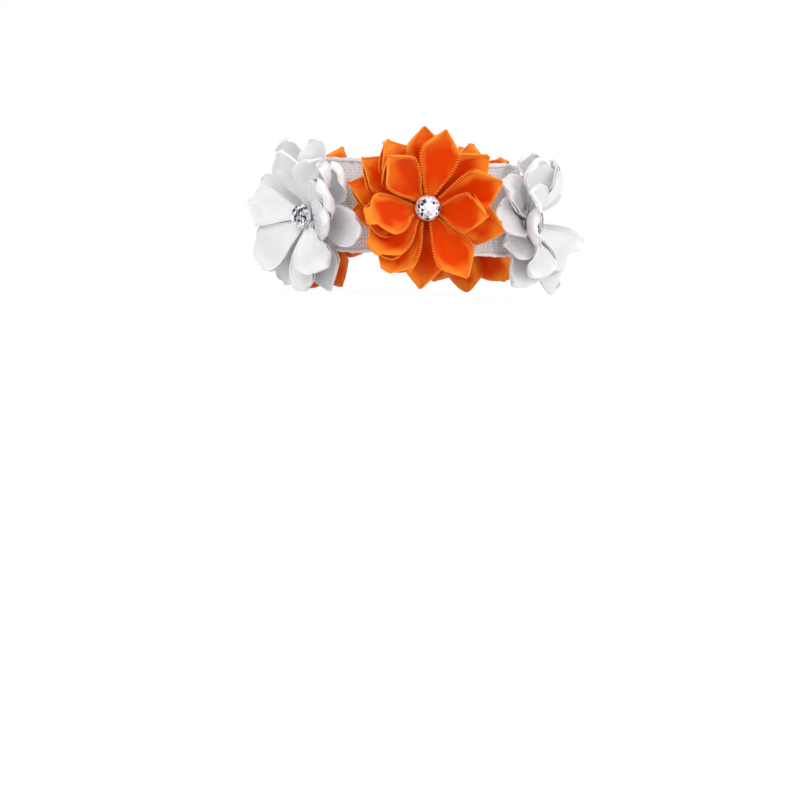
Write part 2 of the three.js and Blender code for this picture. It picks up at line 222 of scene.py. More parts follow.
class RibbonSettings(bpy.types.PropertyGroup):
    """Sizes and colours of the ribbon petals."""
    reach: length("Petal length", 20 * MM, "From a petal's root to its tip")
    half_width: length("Half width", 5.3 * MM, "Of a petal at its shoulders")
    root_half_width: length("Root half width", 1.0 * MM, "Of the gathered root")
    root_radius: length("Root radius", 1.1 * MM, "Where the petals' roots start")
    thickness: length("Thickness", 0.12 * MM, "Of one layer of ribbon")
    layer_gap: length("Layer gap", 0.75 * MM, "Between a petal's two layers at its shoulders")
    hem: length("Hem radius", 0.22 * MM, "Of the folds beside the tip")
    tuck: length("Tuck", 1.5 * MM, "How far the folded corner runs in")
    stitch_pitch: length("Stitch pitch", 0.7 * MM, "Along the selvedge")
    stitch_radius: length("Stitch radius", 0.37 * MM, "Of one selvedge loop")
    stitch_inset: length("Stitch inset", 0.22 * MM, "Of the loops' middles from the edge")
    thread_radius: length("Thread radius", 0.13 * MM, "Of the selvedge thread")
    white_stitch: share("White stitch", 0.6, "Size of the white loops against the orange ones")
    orange: colour("Orange", (0.72, 0.042, 0.0008), "Of the orange satin")
    # Colour of the painted highlight where the orange satin turns over
    orange_highlight: colour("Orange highlight", (1.0, 0.3, 0.03), "Where the orange satin turns over")
    orange_thread: colour("Orange thread", (1.0, 0.35, 0.045), "Of the orange selvedge")
    white: colour("White", (0.86, 0.852, 0.87), "Of the white satin")
    # Colour of the painted highlight where the white satin turns over
    white_highlight: colour("White highlight", (0.97, 0.97, 0.975), "Where the white satin turns over")
    white_thread: colour("White thread", (0.93, 0.93, 0.94), "Of the white selvedge")


class BandSettings(bpy.types.PropertyGroup):
    """Sizes and colours of the lace."""
    height: length("Height", 25 * MM, "Of the lace")
    cord: length("Edge cord", 1.4 * MM, "Diameter of the corded edges")
    web: length("Web", 0.6 * MM, "Thickness that the lace takes up")
    sheer: length("Net thickness", 0.22 * MM, "Of the lace itself")
    panel: length("Panel length", 14 * MM, "Of the flat lace behind a flower")
    lap: length("Lap", 13 * MM, "How far the two ends overlap")
    lap_step: length("Lap step", 1.7 * MM, "How far the inner end lies behind the outer one")
    bend: share("Bend", 0.36, "How far the ends' curves reach")
    ripple: length("Ripple", 0.3 * MM, "Of the lace behind a flower")
    gathers: length("Gathers", 0.55 * MM, "Of the lace between two flowers")
    mesh: length("Mesh", 0.75 * MM, "Of the net")
    lace: colour("Lace", (0.97, 0.925, 0.93), "Of the net")
    cord_colour: colour("Cord", (0.93, 0.9, 0.91), "Of the corded edges")


class StoneSettings(bpy.types.PropertyGroup):
    """Sizes and colours of the stones and cups."""
    facets: IntProperty(name="Facets", description="Round the table", default=8, min=6)
    table: share("Table", 0.86, "Width of the table against the stone's")
    crown: share("Crown", 0.95, "Place of the crown's middle corners")
    turn: FloatProperty(name="Turn", description="In its cup, in radians", default=0.3)
    pavilion: length("Back", 0.9 * MM, "Height of the tapered back")
    girdle: length("Girdle", 0.35 * MM, "Height of the widest part")
    sunk: length("Sunk", 0.6 * MM, "How far the cut table lies under the blank's top")
    foil_thickness: length("Foil", 0.2 * MM, "Thickness of the cup")
    rim: length("Rim", 0.1 * MM, "How far the cup's rim shows round the stone")
    crystal: colour("Crystal", (0.93, 0.96, 1.0), "Of the stone")
    foil: colour("Foil", (0.7, 0.7, 0.72), "Of the cup and the stone's back")


class StageSettings(bpy.types.PropertyGroup):
    """Sizes of the view and the floor."""
    distance: length("Distance", 0.73, "Of the camera from the loop's axis")
    pixel: length("Pixel", 0.27 * MM, "What one pixel spans at the loop's axis")
    roll: FloatProperty(name="Roll", description="Turn of the view in degrees", default=2.0)
    floor: length("Floor", 3.0, "Half width of the floor")


# Geometry helpers

def smoothstep(x, low, high):
    """0 below low and 1 above high, with a soft step between."""
    t = np.clip((np.asarray(x, float) - low) / (high - low), 0, 1)
    return t * t * (3 - 2 * t)


def unit(rows, least=0.0):
    """Rows of vectors, each made one long."""
    return rows / (np.linalg.norm(rows, axis=1, keepdims=True) + least)


def lengths(grid, axis):
    """How far each point of a grid is along it, over the cloth."""
    so_far = np.linalg.norm(np.diff(grid, axis=axis), axis=2).cumsum(axis)
    return np.pad(so_far, [(1, 0) if a == axis else (0, 0) for a in (0, 1)])


def middle(node):
    """The middle of a solid's box."""
    low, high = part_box(node)
    return (low + high) / 2


def place_of(name):
    """A flower's axes, across, up and out, with their origin on the lace behind its centre."""
    band = bpy.context.scene.corsage_band
    thread = middle(name + "_gather_thread")
    panel = middle(name + "_band_panel")
    out = Vector((thread.x - panel.x, thread.y - panel.y, 0)).normalized()
    across = UP.cross(out)
    origin = panel + out * band.web / 2
    origin.z = thread.z
    place = Matrix.Identity(4)
    for column, axis in enumerate((across, UP, out, origin)):
        for row in range(3):
            place[row][column] = axis[row]
    return place


def placed(points, place):
    """The scene's points for points in a flower's axes."""
    m = np.array(place, float)
    return points @ m[:3, :3].T + m[:3, 3]


def mesh_object(name, points, faces, uvs=None, forms=None, smooth=True, lines=(), **measures):
    """A mesh, with its cloth's and its form's measures as UV maps and others at its points."""
    mesh = bpy.data.meshes.new(name)
    mesh.from_pydata([tuple(p) for p in points], list(lines), [tuple(f) for f in faces])
    for label, values in (("Cloth", uvs), ("Form", forms)):
        if values is None:
            continue
        layer = mesh.uv_layers.new(name=label)
        corners = np.zeros(len(mesh.loops), np.int32)
        mesh.loops.foreach_get("vertex_index", corners)
        layer.data.foreach_set("uv", np.asarray(values, np.float32)[corners].ravel())
    for label, values in measures.items():
        kind, key = ("FLOAT", "value") if np.ndim(values) == 1 else ("FLOAT_VECTOR", "vector")
        made = mesh.attributes.new(label, kind, "POINT")
        made.data.foreach_set(key, np.asarray(values, np.float32).ravel())
    mesh.polygons.foreach_set("use_smooth", [smooth] * len(mesh.polygons))
    mesh.update()
    made = bpy.data.objects.new(name, mesh)
    bpy.context.scene.collection.objects.link(made)
    return made


def grid_faces(rows, columns, closed=False, looped=False, first=0):
    """A grid's quads, closed if its columns come round to the first, looped if its rows do."""
    faces = []
    for i in range(rows if looped else rows - 1):
        for j in range(columns if closed else columns - 1):
            k = (j + 1) % columns
            a, b = first + i * columns, first + (i + 1) % rows * columns
            faces.append((a + j, a + k, b + k, b + j))
    return faces


def bake(made):
    """Turns an object with modifiers into a plain mesh under its name."""
    evaluated = made.evaluated_get(bpy.context.evaluated_depsgraph_get())
    mesh = bpy.data.meshes.new_from_object(evaluated)
    old = made.data
    made.modifiers.clear()
    made.data = mesh
    bpy.data.meshes.remove(old)
    mesh.name = made.name
    return made


def thicken(made, thickness):
    """Gives a sheet its thickness, half to each side."""
    solid = made.modifiers.new("Thickness", "SOLIDIFY")
    solid.thickness = thickness
    solid.offset = 0
    solid.use_quality_normals = True
    return bake(made)


def face_outward(made):
    """Turns the faces of a closed mesh outwards, after its doubles are merged."""
    bm = bmesh.new()
    bm.from_mesh(made.data)
    bmesh.ops.remove_doubles(bm, verts=bm.verts, dist=1e-7)
    bmesh.ops.recalc_face_normals(bm, faces=bm.faces)
    bm.to_mesh(made.data)
    bm.free()
    return made


def paint(made, look):
    """Gives a piece one material, by its plain name."""
    made.data.materials.clear()
    made.data.materials.append(material(look))


def finish_piece(made, body, slot, look, *nodes):
    """Paints a piece, names the body that it rides on and hides the solids that it stands for. Its
    slot is not used.
    """
    paint(made, look)
    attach(made, body)
    if nodes:
        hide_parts(*nodes)


# Node helpers

class Socket:
    """An output of a node that Python's operators work on."""

    def __init__(self, nodes, socket):
        self.nodes = nodes
        self.socket = socket

    def output(self, name):
        """Another output of the same node."""
        return Socket(self.nodes, self.socket.node.outputs[name])

    def _math(self, operation, first, second=0.0):
        return self.nodes.node("ShaderNodeMath", {0: first, 1: second}, operation=operation)

    def __add__(self, other):
        return self._math("ADD", self, other)

    def __sub__(self, other):
        return self._math("SUBTRACT", self, other)

    def __rsub__(self, other):
        return self._math("SUBTRACT", other, self)

    def __mul__(self, other):
        return self._math("MULTIPLY", self, other)

    def __lt__(self, other):
        return self._math("LESS_THAN", self, other)

    def above(self, other):
        """The larger of the two."""
        return self._math("MAXIMUM", self, other)

    def size(self):
        """The value without its sign."""
        return self._math("ABSOLUTE", self)

    def wave(self, pitch, shift=None):
        """A sine with this pitch, shifted by an angle."""
        angle = self * (2 * math.pi / pitch)
        return self._math("SINE", angle if shift is None else angle + shift)

    __radd__ = __add__
    __rmul__ = __mul__


class Nodes:
    """A node tree, with one method that adds any node."""

    def __init__(self, tree):
        self.tree = tree
        tree.nodes.clear()

    def node(self, kind, inputs=None, output=0, **settings):
        """Adds a node and gives the one of its outputs that is asked for."""
        made = self.tree.nodes.new(kind)
        for key, value in settings.items():
            setattr(made, key, value)
        for key, value in (inputs or {}).items():
            if isinstance(value, Socket):
                self.tree.links.new(value.socket, made.inputs[key])
            else:
                made.inputs[key].default_value = value
        return Socket(self, made.outputs[output]) if made.outputs else made

    def seen(self):
        """1 where the eye looks straight at a surface, or at it off or through another."""
        ray = self.node("ShaderNodeLightPath", output="Is Camera Ray")
        return ray.above(ray.output("Is Glossy Ray")).above(ray.output("Is Transmission Ray"))


class Material(Nodes):
    """A material's nodes, with the patterns that the materials share."""

    def __init__(self, name):
        self.material = bpy.data.materials.new(name)
        self.material.use_nodes = True
        super().__init__(self.material.node_tree)

    def uv(self, name):
        """The two measures of a UV map."""
        first = self.node("ShaderNodeSeparateXYZ", {0: self.node("ShaderNodeUVMap", uv_map=name)})
        return first, first.output(1)

    def noise(self, scale, detail=3.0, roughness=0.55):
        """Soft noise, fixed to the piece."""
        where = self.node("ShaderNodeTexCoord", output="Object")
        return self.node(
            "ShaderNodeTexNoise",
            {"Vector": where, "Scale": scale, "Detail": detail, "Roughness": roughness},
        )

    def cells(self, where, scale, randomness=1.0, output=0, **settings):
        """Irregular cells."""
        return self.node(
            "ShaderNodeTexVoronoi",
            {"Vector": where, "Scale": scale, "Randomness": randomness},
            output,
            **settings,
        )

    def mix(self, factor, first, second):
        """Mixes two colours."""
        pair = [(*c, 1.0) if isinstance(c, tuple) else c for c in (first, second)]
        return self.node(
            "ShaderNodeMix", {"Factor": factor, 6: pair[0], 7: pair[1]}, 2, data_type="RGBA"
        )

    def smooth(self, value, low, high):
        """0 below low and 1 above high, with a soft step between."""
        return self.node(
            "ShaderNodeMapRange",
            {"Value": value, "From Min": low, "From Max": high},
            interpolation_type="SMOOTHSTEP",
        )

    def bump(self, height, distance, strength):
        """Normals of a surface that rises so high."""
        return self.node(
            "ShaderNodeBump", {"Height": height, "Distance": distance, "Strength": strength}
        )

    def surface(self, **inputs):
        """Ends the material in a Principled surface."""
        named = {key.replace("_", " ").title(): value for key, value in inputs.items()}
        named = {key.replace("Ior", "IOR"): value for key, value in named.items()}
        return self.end(self.node("ShaderNodeBsdfPrincipled", named))

    def end(self, shader):
        """Ends the material in this shader."""
        self.node("ShaderNodeOutputMaterial", {"Surface": shader})
        return self.material


def tone(rgb, factor=1.0):
    """A colour made darker or lighter, for mix."""
    return tuple(min(1.0, part * factor) for part in rgb)


def tint(rgb, factor=1.0):
    """The same, for a node's own colour socket."""
    return (*tone(rgb, factor), 1.0)


# Materials

FLOAT_PITCH = 0.16 * MM  # of the satin's threads along the ribbon
PICK_PITCH = 0.3 * MM  # of those across it
COARSE_PITCHES = (0.8 * MM, 0.66 * MM)  # of a matte petal's grid
WRAP_PITCH = 0.9 * MM  # of the thread round the lace's edge
# Painted reflections on the stones: how close their patches lie, and their grey, lilac fire and
# near black
REFLECTION_PATCHES_PER_METRE = 1300.0
PAINTED_REFLECTION_GREY = (0.36, 0.33, 0.37)
PAINTED_FIRE_LILAC = (0.78, 0.66, 0.82)
PAINTED_REFLECTION_DARK = (0.006, 0.006, 0.007)
FELT_WHITE = (0.8, 0.79, 0.78)
WHITE = (1.0, 1.0, 1.0)
FLOOR_GREY = (0.9, 0.9, 0.9)
FLOOR_GLOW = 1.06
FLOOR_GLOW_SHARE = 0.86  # the rest of the floor holds the shadow


def satin(name, body_colour, highlight_colour, sheen, painted_sheen_strength, root=0.0, glow=0.0):
    """Satin ribbon: long floats of thread along it, with painted shade deep in a fold and a
    painted highlight where it turns.
    """
    n = Material(name)
    across, along = n.uv("Cloth")
    reach, side = n.uv("Form")
    matte = n.node("ShaderNodeAttribute", output="Fac", attribute_name="matte")

    # Painted light: the highlight colour shows on the flanks, round the tip and in the painted
    # sheen, and the body colour stays as painted shade deeper in the fold
    drift = n.noise(130.0, 1.0) - 0.5
    flank = n.smooth((side + drift * 1.3).size(), 0.52, 1.04)
    tip = n.smooth(reach + drift * 0.3, 0.76, 1.0)
    sewn = n.smooth(side.size(), 0.8, 0.9) * (1.0 - n.smooth(reach, 0.68, 0.78))
    rim = flank * n.smooth(reach, 0.1, 0.75).above(0.25) * (1.0 - sewn * 0.8)
    # Painted sheen: broad patches of noise that lighten the satin towards its highlight colour, as
    # strong as the sheen strength asks
    painted_sheen = n.smooth(n.noise(120.0, 1.0), 0.5, 0.8)
    rim = 1.0 - (1.0 - rim * 0.85) * (1.0 - tip * 0.8) * (1.0 - painted_sheen * painted_sheen_strength)
    # Painted light near the root, as far as the root share asks
    rim = 1.0 - (1.0 - rim) * (1.0 - (1.0 - n.smooth(reach, 0.25, 0.7)) * root)
    # The painted highlight made uneven by soft noise
    rim = rim * (n.noise(230.0, 2.0) * 0.5 + 0.75)
    # The body colour as painted shade and the highlight colour as painted highlight, mixed
    painted_light_colour = n.mix(rim, tone(body_colour), tone(highlight_colour))

    # The weave, and the coarse grid of a matte petal
    floats = across.wave(FLOAT_PITCH)
    picks = along.wave(PICK_PITCH, floats * 1.6)
    weave = floats * 0.6 + picks * 0.25
    slub = n.noise(1400.0, 2.0)
    grid = across.wave(COARSE_PITCHES[0]) * along.wave(COARSE_PITCHES[1])
    coarse = (grid * 0.7 + n.noise(1900.0, 2.0)) * matte
    coarse = coarse * (1.0 - n.smooth(reach, 0.55, 0.75))
    return n.surface(
        base_color=n.mix(coarse * 0.5, painted_light_colour, tone(body_colour, 0.5)),
        roughness=slub * 0.1 + 0.3 + matte * 0.35,
        normal=n.bump(weave * 0.5 + slub * 0.8 + coarse * 6.0, 0.012 * MM, 0.35),
        specular_ior_level=0.42,
        specular_tint=tint(highlight_colour, 1.15),
        sheen_weight=sheen,
        sheen_roughness=0.35,
        sheen_tint=tint(highlight_colour, 1.1),
        subsurface_weight=glow,
        subsurface_radius=(1.0, 1.0, 1.0),
        subsurface_scale=2.5 * MM,
    )


def sewing_thread(name, body_colour):
    """Twisted thread."""
    n = Material(name)
    fibres = n.noise(5200.0, 2.0)
    return n.surface(
        base_color=n.mix(fibres, tone(body_colour, 0.86), tone(body_colour, 1.08)),
        roughness=0.6,
        normal=n.bump(fibres, 0.04 * MM, 0.5),
        specular_ior_level=0.3,
        specular_tint=tint(body_colour, 1.1),
    )


def net_lace(name, body_colour, mesh):
    """Sheer net: fine threads round irregular cells, with painted shade in the cells and a
    woven-in glitter whose white is partly painted glint.
    """
    n = Material(name)
    cloth = n.node("ShaderNodeUVMap", uv_map="Cloth")

    def spots(feature, fineness, randomness=1.0):
        return n.cells(
            cloth, fineness / mesh, randomness, voronoi_dimensions="2D", feature=feature
        )

    threads = 1.0 - n.smooth(spots("DISTANCE_TO_EDGE", 1.0, 0.85), 0.05, 0.2)
    hairs = 1.0 - n.smooth(spots("DISTANCE_TO_EDGE", 2.3), 0.03, 0.16)
    glitter_glints = 1.0 - n.smooth(spots("F1", 2.9), 0.12, 0.3)
    clouds = n.noise(420.0, 3.0)
    cover = threads.above(hairs * 0.75).above(glitter_glints * 0.8)
    # Painted shade: the cells between the threads are darker than the threads
    net = n.mix(cover, tone(body_colour, 0.7), tone(body_colour, 1.05))
    return n.surface(
        # The glitter drawn white: partly its own colour, partly a painted glint
        base_color=n.mix(glitter_glints * 0.8, net, WHITE),
        roughness=0.55 - glitter_glints * 0.3,
        alpha=cover * 0.34 + clouds * 0.25 + 0.42,
        normal=n.bump(cover, 0.07 * MM, 0.6),
        sheen_weight=0.2,
    )


def corded_edge(name, body_colour):
    """The corded edge: bundled threads wound with a finer one."""
    n = Material(name)
    across, along = n.uv("Cloth")
    wraps = (along + across * 0.35).wave(WRAP_PITCH)
    fibres = n.noise(2600.0, 3.0)
    return n.surface(
        base_color=n.mix(fibres, tone(body_colour, 0.84), tone(body_colour, 1.1)),
        roughness=0.7,
        normal=n.bump(wraps * 0.6 + fibres, 0.09 * MM, 0.8),
        sheen_weight=0.3,
    )


def felt(name, body_colour):
    """Pressed felt."""
    n = Material(name)
    clumps = n.noise(900.0, 4.0, 0.65)
    fibres = n.noise(4200.0, 3.0, 0.7)
    return n.surface(
        base_color=n.mix(clumps, tone(body_colour, 0.86), tone(body_colour, 1.06)),
        roughness=0.95,
        normal=n.bump(clumps * 0.6 + fibres * 0.6, 0.12 * MM, 0.8),
        sheen_weight=0.4,
    )


def foil(name, body_colour):
    """Thin pressed metal with the marks of its die."""
    n = Material(name)
    marks = n.noise(1800.0, 3.0)
    return n.surface(
        base_color=n.mix(marks, tone(body_colour, 0.8), tone(body_colour, 1.1)),
        metallic=1.0,
        roughness=marks * 0.2 + 0.12,
        normal=n.bump(marks, 0.02 * MM, 0.4),
    )


def cut_crystal(name, body_colour):
    """Clear cut stone over a foil back: its colour is painted reflection, mostly bright, with
    grey, lilac and near black patches.
    """
    n = Material(name)
    dark_reflection_share, facet = n.uv("Form")
    dust = n.noise(2400.0, 2.0)
    # Painted reflections: grey on some facets and in patches, lilac fire in others, and near black
    # patches as many as the stone's share asks
    grey = n.smooth(facet, 0.3, 1.0) * 0.3
    where = n.node("ShaderNodeTexCoord", output="Object")
    reflection_cells = n.cells(where, REFLECTION_PATCHES_PER_METRE, output="Color", feature="F1")
    reflection_cell = n.node("ShaderNodeSeparateColor", {0: reflection_cells})
    grey_reflection_patches = reflection_cell < dark_reflection_share * 2.2
    light = n.mix(grey + dust * 0.05 + grey_reflection_patches * 0.7, tone(body_colour), PAINTED_REFLECTION_GREY)
    light = n.mix(n.smooth(reflection_cell.output("Green"), 0.55, 0.9) * 0.32, light, PAINTED_FIRE_LILAC)
    return n.surface(
        base_color=n.mix((reflection_cell < dark_reflection_share) * 0.98, light, PAINTED_REFLECTION_DARK),
        roughness=dust * 0.05 + 0.06,
        specular_ior_level=0.4,
        coat_weight=0.25,
        coat_roughness=0.02,
    )


def stage_white(name):
    """Plain white that stays white in the view and still holds a shadow."""
    n = Material(name)
    lit = n.node("ShaderNodeBsdfDiffuse", {"Color": tint(FLOOR_GREY)})
    white = n.node("ShaderNodeEmission", {"Color": tint(WHITE), "Strength": FLOOR_GLOW})
    return n.end(
        n.node("ShaderNodeMixShader", {0: n.seen() * FLOOR_GLOW_SHARE, 1: lit, 2: white})
    )


@functools.cache
def material(name):
    """Each material by its plain name, made when it is first asked for."""
    scene = bpy.context.scene
    ribbon, band, stone = scene.corsage_ribbon, scene.corsage_band, scene.corsage_stone
    makers = {
        # The satins' numbers after their colours: sheen, strength of the painted sheen, then for
        # the white one painted light near the root and subsurface
        "orange_satin": lambda: satin(name, ribbon.orange, ribbon.orange_highlight, 0.12, 0.4),
        "white_satin": lambda: satin(name, ribbon.white, ribbon.white_highlight, 0.2, 0.8, 0.9, 0.14),
        "orange_thread": lambda: sewing_thread(name, ribbon.orange_thread),
        "white_thread": lambda: sewing_thread(name, ribbon.white_thread),
        "net_lace": lambda: net_lace(name, band.lace, band.mesh),
        "corded_edge": lambda: corded_edge(name, band.cord_colour),
        "felt": lambda: felt(name, FELT_WHITE),
        "foil": lambda: foil(name, stone.foil),
        "crystal": lambda: cut_crystal(name, stone.crystal),
        "floor_white": lambda: stage_white(name),
    }
    return makers[name]()


# Petals

TIP_ROWS = np.sin(np.linspace(0, 1, 15) * math.pi / 2) * 0.38 + 0.62
FACE_ROWS = np.concatenate([np.linspace(0, 0.58, 12), TIP_ROWS])
NOSE_ROWS = 4
BACK_ROWS = np.concatenate([TIP_ROWS[::-1][::2], np.linspace(0.55, 0.12, 7)])
SIDES = np.sin(np.linspace(-1, 1, 15) * math.pi / 2 * 0.86) / math.sin(math.pi / 2 * 0.86)
HEM_ANGLES = np.radians([45, 90, 135, 180])
HEM = len(HEM_ANGLES) + 2  # points of a hem
ALL_SIDES = np.concatenate([-np.ones(HEM), SIDES, np.ones(HEM)])
SPINE = np.linspace(0, 1, 201)
SHOULDER = 0.755  # where a petal is widest
ROOT_LIFT = 5  # degrees that every root rises by
TIP_SLOPE = 0.9  # how fast a petal widens behind its tip
ROUND_FROM = 0.66  # where a round end starts
ROUNDNESS = 2.1  # power of its oval
SELVEDGE_FROM = 0.13  # where the stitches start
DENT = 0.1  # height of the waves in the cloth, in mm
PLEAT = 0.16  # height of the gathers at the root, in mm
ROOT_GAP = 0.3 * MM  # between the layers at the root
TIGHT_HEM = 0.1 * MM
TIGHT_TUCK = 0.08 * MM
CLEARANCE = 0.16 * MM  # between a petal and what it lies on
LEAST_RAISE = 0.02 * MM
MOST_RAISE = 3 * MM
RAISE_BINS = (24, 9)  # along and across a petal
FLOOR_SOFTNESS = 1.2 * MM
ABOVE_FLOOR = 0.15 * MM
ROOT_DROP = 0.9 * MM  # of the lower roots, from the thread's middle
ROOT_RISE = 1.4 * MM  # of the upper roots


class RibbonPetal:
    """The surface of one petal, as points at a reach along it and a side across it."""

    def __init__(self, form, ribbon, root_height, seed):
        self.form = {**PETAL_DEFAULTS, **form}
        self.ribbon = ribbon
        turn = math.radians(self.form["turn"])
        self.outward = np.array([math.sin(turn), math.cos(turn), 0])
        self.sideways = np.array([math.cos(turn), -math.sin(turn), 0])
        self.reach = ribbon.reach * self.form["reach"]
        self.phase = np.random.default_rng(seed).uniform(0, 2 * math.pi, 4)
        slope = self.slope(SPINE)
        step = self.reach * SPINE[1]

        def summed(part):
            return np.concatenate([[0], np.cumsum((part[1:] + part[:-1]) / 2)]) * step

        self.run = ribbon.root_radius + summed(np.cos(slope))
        self.rise = root_height + summed(np.sin(slope))

    def slope(self, reach):
        """How steeply the face rises at each reach."""
        bent = self.form["bend"] * smoothstep(reach, 0.5, 1.05) ** 1.5
        lifted = self.form["lift"] + self.form["curl"] * reach + bent
        return np.radians(ROOT_LIFT + (lifted - ROOT_LIFT) * smoothstep(reach, 0.08, 0.3))

    def spine(self, reach):
        """The middle of the face, and its directions ahead and off the face, at each reach."""
        run = np.interp(reach, SPINE, self.run)
        rise = np.interp(reach, SPINE, self.rise)
        slope = self.slope(reach)[:, None]
        up = np.array([0, 0, 1])
        centre = run[:, None] * self.outward + rise[:, None] * up
        ahead = np.cos(slope) * self.outward + np.sin(slope) * up
        off = np.cos(slope) * up - np.sin(slope) * self.outward
        return centre, ahead, off

    def half_width(self, reach):
        """A boat's outline: gathered root, full shoulders and a square-cornered tip."""
        r, tip = self.ribbon, self.form["tip"] * MM
        full = r.half_width * self.form["wide"]
        share_of_boat = np.clip(reach / SHOULDER, 0, 1)
        boat = r.root_half_width + (full - r.root_half_width) * (
            np.sin(share_of_boat * math.pi / 2) ** 1.7
        )
        straight = tip + (1 - reach) * self.reach * TIP_SLOPE
        soft = 0.35 * MM + 0.5 * min(tip, 1 * MM)
        blend = np.clip(0.5 + (straight - boat) / (2 * soft), 0, 1)
        pointed = straight * (1 - blend) + boat * blend - soft * blend * (1 - blend)
        if not self.form["round"]:
            return pointed
        past = np.clip((reach - ROUND_FROM) / (1 - ROUND_FROM), 0, 1)
        dome = (1 - past**ROUNDNESS) ** (1 / ROUNDNESS)
        rounded = np.where(reach > ROUND_FROM, tip + (full - tip) * dome, boat)
        rounded = np.minimum(rounded, boat + 0.2 * MM)
        return pointed * (1 - self.form["round"]) + rounded * self.form["round"]

    def dents(self, reach, side):
        """Slight waves in the cloth."""
        a = self.phase
        return (
            np.sin(5 * reach + 2.2 * side + a[0]) * np.sin(3 * side - 4 * reach + a[1])
            + 0.5 * np.sin(11 * reach - 3 * side + a[2]) * np.sin(6 * side + a[3])
        )

    def face_height(self, reach, side):
        """How far the face stands off its spine: cupped, rolled up on the lapping side."""
        form = self.form
        deep = smoothstep(reach, 0.0, 0.5) * (1 - 0.62 * smoothstep(reach, 0.72, 1.0))
        bowl = form["cup"] * deep * (0.8 * side**2 + 0.2 * side**6)
        roll = -form["roll"] * side * smoothstep(reach, 0.1, 0.7)
        roll = roll * (1 - 0.6 * smoothstep(reach, 0.8, 1))
        pleats = PLEAT * np.cos(2.5 * math.pi * side) * (1 - smoothstep(reach, 0.05, 0.4))
        wave = form["wave"] * np.sin(2 * math.pi * side + 1.2) * smoothstep(reach, 0.3, 0.9)
        dents = DENT * self.dents(reach, side) * smoothstep(reach, 0.1, 0.5)
        return (bowl + roll + pleats + wave + dents) * MM

    def back_height(self, reach, side):
        """The underside hangs below the face, furthest on the side that laps a neighbour."""
        form, r = self.form, self.ribbon
        nose = 2 * form["nose"] * MM
        kept = self.looseness() * 0.6
        gap = ROOT_GAP + (r.layer_gap - ROOT_GAP) * smoothstep(reach, 0.15, 0.7)
        gap = gap + (nose - gap) * smoothstep(reach, 0.78, 1.0)
        spread = form["open"] * MM * smoothstep(-side, -0.2, 1.0)
        closing = (1 - kept) * smoothstep(reach, 0.86, 1.0)
        spread = spread * smoothstep(reach, 0.35, 0.75) * (1 - closing)
        sealed = 0.85 * form["round"] * side**2 * smoothstep(reach, 0.3, 0.6)
        flat = 0.72 + 0.28 * np.maximum(smoothstep(reach, 0.85, 1.0), sealed)
        return self.face_height(reach, side) * flat - gap * (1 - sealed) - spread

    def looseness(self):
        """How far the ribbon turns over the nose in an open loop, from 0 to 1."""
        return min(max((self.form["nose"] - 0.4) / 0.4, 0), 1) * (1 - self.form["round"])

    def back_shift(self, reach):
        """The underside shows a little past the face on the lapping side."""
        peek = 0.25 * (1 - self.form["round"]) + 0.35 * self.form["open"]
        return -peek * MM * smoothstep(reach, 0.3, 0.7) * (1 - smoothstep(reach, 0.9, 1.0))

    def lean(self, reach):
        """How far the petal leans sideways at each reach."""
        return self.form["lean"] * MM * reach**2

    def rows(self):
        """The grid of the whole ribbon, with the reach and the side of each of its points."""
        face = self.layer_rows(FACE_ROWS, False)
        grid = np.concatenate([face, self.nose_rows(), self.layer_rows(BACK_ROWS, True)])
        reach = np.concatenate([FACE_ROWS, np.ones(NOSE_ROWS), BACK_ROWS])
        side, reach = np.meshgrid(ALL_SIDES, reach)
        return grid, reach, side

    def layer_rows(self, reach, back):
        """The points of the face, or of the underside, with their hems."""
        centre, _, off = self.spine(reach)
        width = self.half_width(reach)[:, None]
        side, at = np.meshgrid(SIDES, reach)
        height = self.back_height(at, side) if back else self.face_height(at, side)
        shift = self.lean(reach) + (self.back_shift(reach) if back else 0)
        across = side * width + shift[:, None]
        points = (
            centre[:, None, :]
            + across[..., None] * self.sideways
            + height[..., None] * off[:, None, :]
        )
        return self.with_hems(points, reach, back)

    def with_hems(self, points, reach, back):
        """Rolls both edges under, tightly at the selvedge and as a fold beside the tip."""
        r = self.ribbon
        fold = smoothstep(reach, SHOULDER - 0.05, SHOULDER + 0.04) * (1 - self.form["round"])
        fold = fold * (1 - self.looseness())
        face = self.face_height(reach, np.ones_like(reach))
        below = self.back_height(reach, np.ones_like(reach))
        radius = TIGHT_HEM + (r.hem - TIGHT_HEM) * fold
        radius = np.minimum(radius, 0.3 * (face - below))[:, None]
        tuck = TIGHT_TUCK + np.minimum(r.tuck, 0.55 * self.half_width(reach)) * fold
        tuck = tuck[:, None]
        rails = []
        for end, inner, turned in ((0, 1, -1), (-1, -2, 1)):
            edge = points[:, end]
            out = unit(edge - points[:, inner], 1e-12)
            along = np.gradient(edge, axis=0) * (-1 if back else 1)
            down = unit(np.cross(out, along) * turned, 1e-12) * (1 if back else -1)
            rail = [
                edge + out * (radius * math.sin(a)) + down * (radius * (1 - math.cos(a)))
                for a in HEM_ANGLES
            ]
            rail += [edge + down * (2 * radius) - out * (tuck * part) for part in (0.5, 1.0)]
            rails.append(np.stack(rail, 1))
        return np.concatenate([rails[0][:, ::-1], points, rails[1]], 1)

